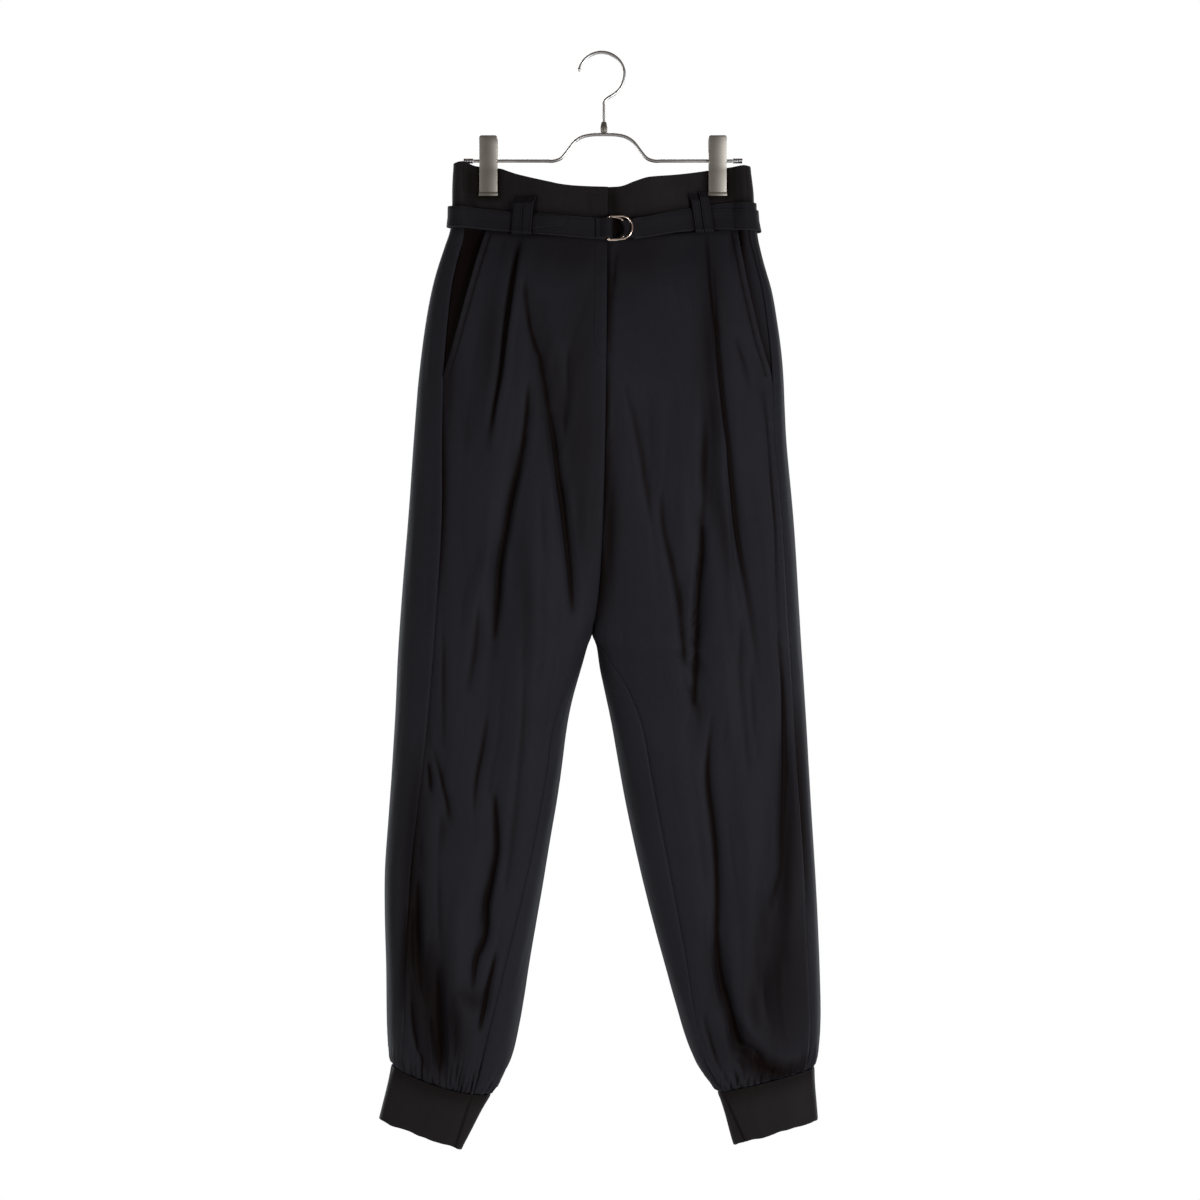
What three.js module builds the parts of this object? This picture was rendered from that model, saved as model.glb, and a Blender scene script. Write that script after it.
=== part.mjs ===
// Tapered joggers hanging from a clip hanger.
// Millimetres, +Z up. The garment's front faces -Y and the wearer's right side is -X.
// The origin is the point of the hanger's hook that bears on a rail. Everything hangs below it, so heights
// are given as a drop: the distance below that point.
import * as THREE from "three";
import { mergeVertices } from "three/addons/utils/BufferGeometryUtils.js";

// ---------------------------------------------------------------- driving sizes

const gap = 0.3; // between two pieces that are sewn together or lie on each other
const clothThick = 1.2; // panel cloth
const doubleThick = 2; // waistband and cuffs, folded double
const roundness = 2.6; // exponent of the section curve: 2 is an ellipse, more is squarer

const bandTop = 118; // level of the waistband's top edge
const waistSeam = 176; // level of the seam under the waistband
const crotch = 581.5;
const cuffSeam = 1025; // level of the seam above each cuff
const cuffEnd = 1077; // level of each cuff's open edge
const waistHalf = 150; // half of the flat waist, where the waist seam's curve is measured
const seamDip = 17; // how much lower the waist seam hangs at the centre than at the sides
const seamCentreDrop = 184;
const backShift = 1.6; // the back's centre seam stands this far to the left of the front's

const lapEdge = 5; // the waistband's right end laps over its left end as far as this
const lapHidden = 28; // and covers this length of it

const clipX = 114.5; // clips stand this far from the hook's line
const clipWidth = 18;
const clipThick = 1.6;
const pinchDeep = doubleThick + gap; // half of the garment's thickness between the jaws

const beltHalf = 10.6; // half of the belt's width
const beltThick = 1.4;
const beltLift = 1; // from the waistband to the belt's under layer
const strapLift = beltLift + beltThick / 2; // middle of the under layer
const tailLift = strapLift + beltThick + 1.6 * gap; // middle of the layer that lies on it

const ringWire = 1.7;
const ringRadius = 11.8; // middle of the wire of each D ring's round side

const wire = 3.4; // hanger bar and hook
const hookRadius = 22.8; // middle of the wire
const hookX = -1.5;
const stemX = 0.8;
const barDrop = 107;
const barHalf = 129.6;

const colours = { cloth: 0x15161b, metal: 0x8b867d, ring: 0x9a8674 };

// ---------------------------------------------------------------- tables

// The surface is described by levels: a level is a drop, except near the waist and the cuffs, where a level
// runs along the slanting or dipping seam.

// The centre seams, front and back, from the waist to the crotch.
const centreSeam = [
  { level: bandTop, x: lapEdge },
  { level: 300, x: 3.5 },
  { level: 420, x: 1.5 },
  { level: 500, x: -1.5 },
  { level: 545, x: -5 },
  { level: crotch, x: -11 },
];

// Half depths of the garment before and behind the hanger's plane. cleft is how far the centre seam sinks
// between the two halves: 0 is a flat front, 1 is the crotch and everything below it.
const depths = [
  { level: bandTop, front: 20, back: 20, cleft: 0 },
  { level: 165, front: 22, back: 24, cleft: 0 },
  { level: 195, front: 27, back: 31, cleft: 0 },
  { level: 245, front: 34, back: 40, cleft: 0 },
  { level: 305, front: 39, back: 46, cleft: 0.04 },
  { level: 385, front: 40, back: 48, cleft: 0.36 },
  { level: 465, front: 39, back: 47, cleft: 0.68 },
  { level: 525, front: 38, back: 45, cleft: 0.87 },
  { level: 560, front: 38, back: 44, cleft: 0.96 },
  { level: crotch, front: 38, back: 43, cleft: 1 },
  { level: 665, front: 37, back: 41, cleft: 1 },
  { level: 825, front: 36, back: 38, cleft: 1 },
  { level: 925, front: 38, back: 39, cleft: 1 },
  { level: 975, front: 38, back: 38, cleft: 1 },
  { level: 1003, front: 32, back: 32, cleft: 1 },
  { level: 1017, front: 24, back: 24, cleft: 1 },
  { level: cuffSeam, front: 19, back: 19, cleft: 1 },
  { level: 1036, front: 17, back: 17, cleft: 1 },
  { level: cuffEnd, front: 16, back: 16, cleft: 1 },
];

// Each leg, measured outwards from the hook's line on that leg's own side. outer and inner are its edges;
// sideIn and inseamIn are how far its two seams lie in from them, on the front.
const rightOuter = [
  { level: bandTop, outer: 149.5, sideIn: 10 },
  { level: 145, outer: 151, sideIn: 12 },
  { level: waistSeam, outer: 151.5, sideIn: 14 },
  { level: 195, outer: 155, sideIn: 15 },
  { level: 215, outer: 163.5, sideIn: 17 },
  { level: 245, outer: 172.5, sideIn: 20 },
  { level: 305, outer: 182, sideIn: 24 },
  { level: 385, outer: 189, sideIn: 29 },
  { level: 465, outer: 195, sideIn: 35 },
  { level: crotch, outer: 204, sideIn: 37 },
  { level: 665, outer: 208, sideIn: 34 },
  { level: 745, outer: 213, sideIn: 30 },
  { level: 825, outer: 218, sideIn: 25 },
  { level: 900, outer: 216.5, sideIn: 21 },
  { level: 975, outer: 216, sideIn: 18 },
  { level: 1010, outer: 214.5, sideIn: 14 },
  { level: cuffSeam, outer: 211.5, sideIn: 12 },
  { level: cuffEnd, outer: 224, sideIn: 12 },
];
const rightInner = [
  { level: crotch, inner: 11, inseamIn: 0 },
  { level: 625, inner: 25, inseamIn: 7 },
  { level: 658, inner: 34.5, inseamIn: 11 },
  { level: 700, inner: 39.5, inseamIn: 13 },
  { level: 745, inner: 46, inseamIn: 14 },
  { level: 825, inner: 59, inseamIn: 17 },
  { level: 905, inner: 73, inseamIn: 23 },
  { level: 975, inner: 86.5, inseamIn: 28 },
  { level: 1005, inner: 97, inseamIn: 25 },
  { level: cuffSeam, inner: 112, inseamIn: 17 },
  { level: cuffEnd, inner: 141, inseamIn: 5 },
];
const leftOuter = [
  { level: bandTop, outer: 147.5, sideIn: 5 },
  { level: 145, outer: 150.5, sideIn: 6 },
  { level: waistSeam, outer: 152, sideIn: 7 },
  { level: 195, outer: 156, sideIn: 8 },
  { level: 215, outer: 161.5, sideIn: 8 },
  { level: 245, outer: 170, sideIn: 9 },
  { level: 305, outer: 179, sideIn: 11 },
  { level: 385, outer: 183, sideIn: 12 },
  { level: 465, outer: 190.5, sideIn: 13 },
  { level: crotch, outer: 197.5, sideIn: 13 },
  { level: 665, outer: 203, sideIn: 13 },
  { level: 745, outer: 207.5, sideIn: 12 },
  { level: 825, outer: 212.5, sideIn: 12 },
  { level: 900, outer: 216, sideIn: 12 },
  { level: 975, outer: 217.5, sideIn: 11 },
  { level: 1010, outer: 215.5, sideIn: 10 },
  { level: cuffSeam, outer: 211.5, sideIn: 9 },
  { level: cuffEnd, outer: 215, sideIn: 8 },
];
const leftInner = [
  { level: crotch, inner: -11, inseamIn: 0 },
  { level: 625, inner: -1.5, inseamIn: 20 },
  { level: 658, inner: 6, inseamIn: 29 },
  { level: 745, inner: 22, inseamIn: 30 },
  { level: 825, inner: 39.5, inseamIn: 28 },
  { level: 905, inner: 60, inseamIn: 22 },
  { level: 975, inner: 82.5, inseamIn: 12 },
  { level: 1005, inner: 96.5, inseamIn: 9 },
  { level: cuffSeam, inner: 114, inseamIn: 6 },
  { level: cuffEnd, inner: 130, inseamIn: 9 },
];

// Where the pleat's fold runs down each front, how high it stands over the cloth beside it, and how far the
// cloth takes to step down.
const rightPleat = [
  { level: waistSeam, at: 78, step: 0, wide: 3 },
  { level: 192, at: 80, step: 1.6, wide: 3 },
  { level: 212, at: 83, step: 4, wide: 3 },
  { level: 250, at: 88, step: 5.5, wide: 3 },
  { level: 310, at: 97, step: 5.5, wide: 3 },
  { level: 360, at: 104, step: 3.5, wide: 4 },
  { level: 440, at: 112, step: 0, wide: 6 },
  { level: 800, at: 130, step: 0, wide: 9 },
  { level: cuffSeam, at: 158, step: 0, wide: 9 },
];
const leftPleat = [
  { level: waistSeam, at: 104, step: 0, wide: 3 },
  { level: 192, at: 105, step: 1.6, wide: 3 },
  { level: 212, at: 106.5, step: 4, wide: 3 },
  { level: 276, at: 111, step: 6, wide: 3 },
  { level: 376, at: 119, step: 7.5, wide: 3.5 },
  { level: 476, at: 129, step: 6.5, wide: 4 },
  { level: 556, at: 139, step: 3, wide: 6 },
  { level: 640, at: 146, step: 0, wide: 8 },
  { level: 800, at: 152, step: 0, wide: 9 },
  { level: cuffSeam, at: 163, step: 0, wide: 9 },
];

// The hanging folds. Each runs from one place to another, bowed sideways by bow at its middle; it is deep
// at its middle (negative is a trough) and dies out at both ends.
const rightFolds = [
  { face: "front", from: 76, top: 258, to: 28, bottom: 565, bow: -12, wide: 9, deep: -6.5 },
  { face: "front", from: 74, top: 335, to: 113, bottom: 610, bow: 3, wide: 9, deep: -5.5 },
  { face: "front", from: 58, top: 380, to: 86, bottom: 760, bow: 0, wide: 17, deep: 4 },
  { face: "front", from: 142, top: 430, to: 150, bottom: 760, bow: 4, wide: 16, deep: 3 },
  { face: "front", from: 174, top: 680, to: 150, bottom: 800, bow: 0, wide: 9, deep: -3.5 },
  { face: "front", from: 106, top: 730, to: 128, bottom: 940, bow: 0, wide: 9, deep: -5 },
  { face: "front", from: 192, top: 780, to: 168, bottom: 1010, bow: 4, wide: 9, deep: -6.5 },
  { face: "front", from: 168, top: 890, to: 156, bottom: 1090, bow: 0, wide: 10, deep: -7 },
  { face: "front", from: 140, top: 820, to: 146, bottom: 1010, bow: 0, wide: 14, deep: 4.5 },
  { face: "front", from: 112, top: 905, to: 122, bottom: 1060, bow: 0, wide: 9, deep: -4 },
  { face: "back", from: 52, top: 290, to: 96, bottom: 600, bow: 8, wide: 11, deep: -6 },
  { face: "back", from: 120, top: 350, to: 152, bottom: 690, bow: 4, wide: 12, deep: -5 },
  { face: "back", from: 30, top: 430, to: 70, bottom: 720, bow: 0, wide: 14, deep: 4 },
  { face: "back", from: 118, top: 660, to: 104, bottom: 900, bow: 6, wide: 11, deep: -5 },
  { face: "back", from: 176, top: 720, to: 160, bottom: 1000, bow: -6, wide: 12, deep: -6 },
  { face: "back", from: 130, top: 880, to: 144, bottom: 1090, bow: 0, wide: 10, deep: -6 },
];
const leftFolds = [
  { face: "front", from: 36, top: 330, to: 74, bottom: 560, bow: -4, wide: 12, deep: -3.5 },
  { face: "front", from: 68, top: 450, to: 97, bottom: 660, bow: 0, wide: 9, deep: -4.5 },
  { face: "front", from: 108, top: 320, to: 90, bottom: 700, bow: -5, wide: 9, deep: -6.5 },
  { face: "front", from: 160, top: 400, to: 176, bottom: 720, bow: 0, wide: 16, deep: 3.5 },
  { face: "front", from: 178, top: 640, to: 146, bottom: 965, bow: 12, wide: 12, deep: -5.5 },
  { face: "front", from: 100, top: 650, to: 120, bottom: 960, bow: -4, wide: 9, deep: -4.5 },
  { face: "front", from: 112, top: 880, to: 164, bottom: 1090, bow: -8, wide: 10, deep: -7.5 },
  { face: "front", from: 140, top: 700, to: 136, bottom: 980, bow: 6, wide: 15, deep: 4 },
  { face: "back", from: 44, top: 300, to: 84, bottom: 620, bow: 8, wide: 11, deep: -6 },
  { face: "back", from: 126, top: 330, to: 150, bottom: 640, bow: 6, wide: 12, deep: -5.5 },
  { face: "back", from: 60, top: 480, to: 96, bottom: 780, bow: 0, wide: 14, deep: 4 },
  { face: "back", from: 160, top: 640, to: 132, bottom: 920, bow: 0, wide: 11, deep: -5 },
  { face: "back", from: 108, top: 760, to: 128, bottom: 1000, bow: 0, wide: 11, deep: -5 },
  { face: "back", from: 178, top: 860, to: 166, bottom: 1090, bow: 0, wide: 10, deep: -6 },
];

const pocketBottom = 326;
const right = {
  name: "right",
  side: -1,
  outer: rightOuter,
  inner: rightInner,
  pleat: rightPleat,
  folds: rightFolds,
  pocket: { topAt: 116, bottomAt: 158.5 },
  cuff: { tilt: 15.3, sag: 6, longer: 2.5 },
};
const left = {
  name: "left",
  side: 1,
  outer: leftOuter,
  inner: leftInner,
  pleat: leftPleat,
  folds: leftFolds,
  pocket: { topAt: 143, bottomAt: 168.7 },
  cuff: { tilt: 12.5, sag: 1, longer: 0 },
};
const legs = [right, left];

// The waistband's top edge, which dips between the clips.
const topEdge = [
  { x: -152, drop: 110.5 },
  { x: -139, drop: 108 },
  { x: -130, drop: 111.5 },
  { x: -118, drop: 114 },
  { x: -104, drop: 114.5 },
  { x: -88, drop: 120 },
  { x: -60, drop: 128 },
  { x: -36, drop: 133 },
  { x: 5, drop: 135 },
  { x: 18, drop: 134.4 },
  { x: 30, drop: 130 },
  { x: 41, drop: 126 },
  { x: 69, drop: 122.5 },
  { x: 104, drop: 117 },
  { x: 125, drop: 114 },
  { x: 140, drop: 112 },
  { x: 150, drop: 113.5 },
];

// The middle of each belt layer. The strap lies on the waistband, and the tail lies on the strap.
const strapFront = [
  { x: -158, drop: 162.5 },
  { x: -88, drop: 169.5 },
  { x: -34, drop: 174.8 },
  { x: 8, drop: 178 },
  { x: 31, drop: 177.5 },
  { x: 72, drop: 168.5 },
  { x: 97, drop: 164 },
  { x: 126, drop: 160 },
  { x: 158, drop: 160.5 },
];
const tailFront = [
  { x: -158, drop: 162.5 },
  { x: -88, drop: 170 },
  { x: -34, drop: 174.8 },
  { x: 31, drop: 177.5 },
  { x: 72, drop: 170.5 },
  { x: 97, drop: 167.3 },
  { x: 126, drop: 167 },
  { x: 158, drop: 168 },
];
const strapBack = [
  { x: -158, drop: 162.5 },
  { x: -60, drop: 172 },
  { x: 60, drop: 171 },
  { x: 158, drop: 160.5 },
];
const tailBack = [
  { x: -158, drop: 162.5 },
  { x: -60, drop: 173 },
  { x: 60, drop: 174 },
  { x: 158, drop: 168 },
];

// The tail's shaped end on the right front: its upper and lower edges.
const tip = [
  { x: -92, upper: 159.4, lower: 179.8 },
  { x: -78, upper: 162, lower: 178.4 },
  { x: -64, upper: 163.8, lower: 176.4 },
  { x: -50, upper: 164.6, lower: 175.4 },
  { x: -42, upper: 165, lower: 174 },
  { x: -37.5, upper: 165.3, lower: 171.6 },
  { x: -35.5, upper: 166, lower: 169.4 },
];

// The belt loops: where each begins and ends, and its width.
const loops = [
  { name: "loop_right_1", face: "front", x: -81.5, top: 144.5, footX: -85.3, foot: 182.5, wide: 9.6 },
  { name: "loop_right_2", face: "front", x: -71.2, top: 144.5, footX: -75, foot: 183, wide: 9.6 },
  { name: "loop_left_1", face: "front", x: 89.6, top: 141.3, footX: 96, foot: 181, wide: 8.8 },
  { name: "loop_left_2", face: "front", x: 99.6, top: 138, footX: 106, foot: 180.6, wide: 9.2 },
  { name: "loop_back_right", face: "back", x: -62, top: 144, footX: -62, foot: 188, wide: 10 },
  { name: "loop_back_left", face: "back", x: 62, top: 144, footX: 62, foot: 188, wide: 10 },
];

// The bar's arch over the garment, as distances from the stem.
const arch = [
  { out: 0, drop: 80.5 },
  { out: 13, drop: 81 },
  { out: 22.5, drop: 83.3 },
  { out: 30, drop: 88.5 },
  { out: 36.5, drop: 97 },
  { out: 42.5, drop: 104 },
  { out: 50, drop: barDrop },
  { out: 60, drop: barDrop },
];

// A clip's plate seen from its side: the middle of the metal, from the finger end to the jaw.
const plate = [
  { deep: 9.6, drop: 82.6 },
  { deep: 8.4, drop: 92 },
  { deep: 6, drop: 103 },
  { deep: 4.2, drop: 111 },
  { deep: pinchDeep + gap + clipThick / 2, drop: 117 },
  { deep: pinchDeep + gap + clipThick / 2, drop: 142.3 },
];

// Levels of the rows of each panel; from gatherFrom on they carry twice the columns, for the gathers.
const panelLevels = [
  waistSeam, 192, 212, 238, 268, 300, pocketBottom, 356, 392, 430, 470, 508, 540, 562, crotch,
  604, 634, 672, 716, 764, 816, 866, 910, 946, 974, 996, 1012, cuffSeam,
];
const gatherFrom = 990;
const gather = { count: 10, deep: 2.1, long: 46 };

// ---------------------------------------------------------------- small helpers

const clamp = (value, low, high) => Math.min(Math.max(value, low), high);
const mix = (a, b, t) => a + (b - a) * t;
const radians = (degrees) => (degrees * Math.PI) / 180;

// 0 before from, 1 after to, and an easy slope between them.
function ease(value, from, to) {
  const t = clamp((value - from) / (to - from), 0, 1);
  return t * t * (3 - 2 * t);
}

// A smooth curve through one column of a table whose rows run in the order of their key column.
function through(table, key, column, value) {
  const last = table.length - 1;
  if (value <= table[0][key]) return table[0][column];
  if (value >= table[last][key]) return table[last][column];
  const i = table.findIndex((row, k) => k < last && value <= table[k + 1][key]);
  const slope = (k) => {
    const before = table[Math.max(k - 1, 0)];
    const after = table[Math.min(k + 1, last)];
    return (after[column] - before[column]) / (after[key] - before[key]);
  };
  const span = table[i + 1][key] - table[i][key];
  const t = (value - table[i][key]) / span;
  const bend = span * t * (1 - t);
  const straight = mix(table[i][column], table[i + 1][column], t * t * (3 - 2 * t));
  return straight + bend * (slope(i) * (1 - t) - slope(i + 1) * t);
}

// ---------------------------------------------------------------- the worn surface

// The section of one half of the garment at a level: its reach sideways and its depths.
function sectionAt(leg, level) {
  const own = level < crotch
    ? leg.side * through(centreSeam, "level", "x", level)
    : through(leg.inner, "level", "inner", level);
  const inner = own + gap / 2;
  const outer = through(leg.outer, "level", "outer", level);
  const cleft = clamp(through(depths, "level", "cleft", level), 0, 1);
  const half = (outer - inner) / (1 + cleft);
  return { outer, inner, half, middle: outer - half };
}

// The angle on the front of a section, in degrees from its outer edge, at a distance from the hook's line.
function frontAngle(leg, level, distance) {
  const section = sectionAt(leg, level);
  const share = clamp((distance - section.middle) / section.half, -1, 1);
  return THREE.MathUtils.radToDeg(Math.acos(Math.sign(share) * Math.abs(share) ** (roundness / 2)));
}

// How strongly the clips hold front and back together at a place.
function pinch(x, level) {
  const off = Math.abs(x) - clipX;
  const across = off < 0 ? 1 - ease(-off, 12, 68) : 1 - ease(off, 14, 30);
  return across * (1 - ease(level, 150, 228));
}

const seamDrop = (x) => seamCentreDrop - seamDip * (x / waistHalf) ** 2;

// The drop of a place on the surface; share runs from -1 at a leg's inner edge to 1 at its outer one.
function dropAt(leg, x, share, level) {
  if (level <= waistSeam) {
    const t = (level - bandTop) / (waistSeam - bandTop);
    return mix(through(topEdge, "x", "drop", x), seamDrop(x), t);
  }
  const nearWaist = 1 - ease(level, waistSeam, waistSeam + 90);
  const nearCuff = ease(level, 890, cuffSeam);
  const sagging = nearCuff * (1 - ease(level, cuffSeam, cuffEnd));
  const { tilt, sag, longer } = leg.cuff;
  const cuffDrop = sag * (1 - share * share) * sagging - tilt * share * nearCuff
    + longer * ease(level, cuffSeam, cuffEnd);
  return level + (seamDrop(x) - waistSeam) * nearWaist + cuffDrop;
}

// A point of the plain worn surface. The angle runs from 0 at the outer edge over the front to 180 at the
// inner edge, and is negative over the back; past -180 it comes round to the front again.
function wornPoint(leg, angle, level) {
  const section = sectionAt(leg, level);
  const turn = radians(angle);
  const power = 2 / roundness;
  const share = Math.sign(Math.cos(turn)) * Math.abs(Math.cos(turn)) ** power;
  const rise = Math.abs(Math.sin(turn)) ** power;
  const onFront = Math.sin(turn) >= 0;
  const x = leg.side * (section.middle + section.half * share) + (onFront ? 0 : backShift * rise);
  const deep = through(depths, "level", onFront ? "front" : "back", level) * rise;
  const held = mix(deep, Math.min(deep, pinchDeep), pinch(x, level));
  return new THREE.Vector3(x, onFront ? -held : held, -dropAt(leg, x, share, level));
}

// The outward direction of the plain worn surface.
function wornNormal(leg, angle, level) {
  const step = 0.4;
  const along = wornPoint(leg, angle + step, level).sub(wornPoint(leg, angle - step, level));
  const down = wornPoint(leg, angle, level + step).sub(wornPoint(leg, angle, level - step));
  return along.cross(down).multiplyScalar(leg.side).normalize();
}

// Angles spread along the section between two angles, evenly but closer together where it bends.
function spread(leg, level, from, to, count) {
  const steps = 60;
  const bendWorth = 26; // a turn of one radian counts as this much length
  const angles = Array.from({ length: steps + 1 }, (_, k) => mix(from, to, k / steps));
  const points = angles.map((angle) => wornPoint(leg, angle, level));
  const reach = [0];
  let heading = null;
  for (let k = 1; k <= steps; k++) {
    const run = new THREE.Vector2(points[k].x - points[k - 1].x, points[k].y - points[k - 1].y);
    const turned = heading ? Math.abs(Math.atan2(heading.cross(run), heading.dot(run))) : 0;
    reach.push(reach[k - 1] + run.length() + bendWorth * turned);
    heading = run;
  }
  return Array.from({ length: count + 1 }, (_, j) => {
    if (j === 0) return from;
    if (j === count) return to;
    const wanted = (reach[steps] * j) / count;
    const k = reach.findIndex((r) => r >= wanted);
    return mix(angles[k - 1], angles[k], (wanted - reach[k - 1]) / (reach[k] - reach[k - 1]));
  });
}

// Moves an angle along its section by a length of cloth.
function nudge(leg, level, angle, length) {
  const a = wornPoint(leg, angle - 0.2, level);
  const b = wornPoint(leg, angle + 0.2, level);
  return angle + (0.4 * length) / Math.hypot(b.x - a.x, b.y - a.y);
}

// The level at which a line of constant angle reaches a drop, near the waist.
function levelAt(leg, angle, drop) {
  let low = bandTop - 20;
  let high = waistSeam + 60;
  for (let k = 0; k < 24; k++) {
    const middle = (low + high) / 2;
    if (-wornPoint(leg, angle, middle).z < drop) low = middle;
    else high = middle;
  }
  return (low + high) / 2;
}

// The angle of a place on the front or back at a level, by its x.
function angleAtX(leg, face, level, x) {
  if (face === "front") return frontAngle(leg, level, leg.side * x);
  return -frontAngle(leg, level, leg.side * (x - backShift));
}

// ---------------------------------------------------------------- folds, pleats and gathers

// A pleat is high on its inner side, steps down over the fold and is low on its outer side.
function pleatHeight(leg, distance, level) {
  const step = Math.max(through(leg.pleat, "level", "step", level), 0);
  const wide = through(leg.pleat, "level", "wide", level);
  const past = distance - through(leg.pleat, "level", "at", level);
  if (past <= 0) return 0.7 * step * Math.exp(past / 30);
  if (past < wide) return mix(0.7 * step, -0.3 * step, past / wide);
  return -0.3 * step * Math.exp((wide - past) / 16);
}

function foldHeight(fold, distance, drop) {
  const t = (drop - fold.top) / (fold.bottom - fold.top);
  if (t <= 0 || t >= 1) return 0;
  const centre = mix(fold.from, fold.to, t) + fold.bow * 4 * t * (1 - t);
  const off = (distance - centre) / fold.wide;
  return fold.deep * Math.sin(Math.PI * t) ** 0.8 * Math.exp(-off * off);
}

// Gathers where the leg is drawn into the cuff; share runs from 0 to 1 across the panel.
function gatherHeight(share, level, phase) {
  const near = ease(level, cuffSeam - gather.long, cuffSeam);
  const wave = share * gather.count + 0.22 * Math.sin(share * 11 + phase);
  const uneven = 0.7 + 0.3 * Math.sin(share * 17 + 2 * phase);
  return -gather.deep * near * uneven * (0.5 + 0.5 * Math.cos(2 * Math.PI * wave));
}

function relief(leg, angle, point, level) {
  const face = Math.sin(radians(angle)) >= 0 ? "front" : "back";
  const distance = leg.side * point.x;
  const offEdge = ease(Math.abs(Math.sin(radians(angle))), 0.02, 0.45);
  const offCentre = ease(distance - sectionAt(leg, level).inner, 0, 14);
  const aboveCuff = 1 - ease(level, cuffSeam - 40, cuffSeam);
  const folds = leg.folds
    .filter((fold) => fold.face === face)
    .reduce((sum, fold) => sum + foldHeight(fold, distance, -point.z), 0);
  const pleat = face === "front" ? pleatHeight(leg, distance, level) : 0;
  return offEdge * offCentre * (folds * aboveCuff + pleat);
}

// ---------------------------------------------------------------- solids from rows

// Triangles of a strip between two rows of points; the rows may hold different numbers of points.
function stitch(upper, lower, out) {
  let i = 0;
  let j = 0;
  while (i < upper.length - 1 || j < lower.length - 1) {
    const nextUpper = (i + 1) / (upper.length - 1);
    const nextLower = (j + 1) / (lower.length - 1);
    const stepUpper = j === lower.length - 1 || (i < upper.length - 1 && nextUpper < nextLower - 1e-9);
    if (stepUpper) {
      out.push(upper[i], lower[j], upper[i + 1]);
      i += 1;
    } else {
      out.push(upper[i], lower[j], lower[j + 1]);
      j += 1;
    }
  }
}

// A geometry from triangle corners, turned so that its faces point outwards.
function solidFrom(corners) {
  let volume = 0;
  for (let k = 0; k < corners.length; k += 3) {
    volume += corners[k].dot(new THREE.Vector3().crossVectors(corners[k + 1], corners[k + 2]));
  }
  if (volume < 0) corners.reverse();
  const merged = mergeVertices(new THREE.BufferGeometry().setFromPoints(corners), 1e-4);
  merged.computeVertexNormals();
  return merged;
}

// A wall of cloth. Rows hold places { outer, normal }; the inner face lies thick behind the outer one.
// A closed wall joins the last column to the first, as a cuff does.
function clothWall(rows, thick, closed = false) {
  const corners = [];
  const faces = rows.map((row) => {
    const outer = row.map((place) => place.outer);
    const inner = row.map((place) => place.outer.clone().addScaledVector(place.normal, -thick));
    return closed ? { outer: [...outer, outer[0]], inner: [...inner, inner[0]] } : { outer, inner };
  });
  for (let k = 0; k + 1 < faces.length; k++) {
    const [upper, lower] = [faces[k], faces[k + 1]];
    stitch(upper.outer, lower.outer, corners);
    stitch(lower.inner, upper.inner, corners);
    if (closed) continue;
    stitch([upper.inner[0], upper.outer[0]], [lower.inner[0], lower.outer[0]], corners);
    stitch([upper.outer.at(-1), upper.inner.at(-1)], [lower.outer.at(-1), lower.inner.at(-1)], corners);
  }
  stitch(faces[0].inner, faces[0].outer, corners);
  stitch(faces.at(-1).outer, faces.at(-1).inner, corners);
  return solidFrom(corners);
}

// A solid through rings of points, with flat ends; closed joins the last ring to the first instead.
function loft(rings, closed = false) {
  const corners = [];
  const loop = closed ? [...rings, rings[0]] : rings;
  for (let k = 0; k + 1 < loop.length; k++) {
    stitch([...loop[k], loop[k][0]], [...loop[k + 1], loop[k + 1][0]], corners);
  }
  if (closed) return solidFrom(corners);
  for (let k = 1; k + 1 < rings[0].length; k++) {
    corners.push(rings[0][0], rings[0][k], rings[0][k + 1]);
    corners.push(rings.at(-1)[0], rings.at(-1)[k + 1], rings.at(-1)[k]);
  }
  return solidFrom(corners);
}

// A ring of points round a place of a curve that lies in the plane of y = 0.
function ringAround(centre, ahead, radius, sides) {
  const across = new THREE.Vector3(0, 1, 0);
  const up = new THREE.Vector3().crossVectors(ahead, across).normalize();
  return Array.from({ length: sides }, (_, k) => {
    const turn = (2 * Math.PI * (k + 0.5)) / sides;
    return centre.clone()
      .addScaledVector(up, radius * Math.cos(turn))
      .addScaledVector(across, radius * Math.sin(turn));
  });
}

// ---------------------------------------------------------------- the group

const finish = {
  cloth: new THREE.MeshStandardMaterial({ color: colours.cloth, roughness: 0.75, metalness: 0 }),
  metal: new THREE.MeshStandardMaterial({ color: colours.metal, roughness: 0.4, metalness: 0.9 }),
  ring: new THREE.MeshStandardMaterial({ color: colours.ring, roughness: 0.3, metalness: 1 }),
};

const joggers = new THREE.Group();

// Puts a named piece in the group, with a material of its own.
function add(name, geometry, material) {
  const mesh = new THREE.Mesh(geometry, material.clone());
  mesh.name = name;
  joggers.add(mesh);
}

// ---------------------------------------------------------------- panels

// One place on the garment, moved out by its folds and by lift.
function place(leg, angle, level, lift = 0) {
  const point = wornPoint(leg, angle, level);
  const normal = wornNormal(leg, angle, level);
  const height = level > waistSeam ? relief(leg, angle, point, level) : 0;
  return { outer: point.addScaledVector(normal, height + lift), normal };
}

const trimmedLevels = panelLevels.map((level, k) => {
  if (k === 0) return level + gap / 2;
  return k === panelLevels.length - 1 ? level - gap / 2 : level;
});

const sideSeamAt = (leg, level) =>
  sectionAt(leg, level).outer - through(leg.outer, "level", "sideIn", level);

const inseamAt = (leg, level) =>
  sectionAt(leg, level).inner + through(leg.inner, "level", "inseamIn", level);

function pocketMouthAt(leg, level) {
  const t = (level - waistSeam) / (pocketBottom - waistSeam);
  return mix(leg.pocket.topAt, leg.pocket.bottomAt, t);
}

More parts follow.
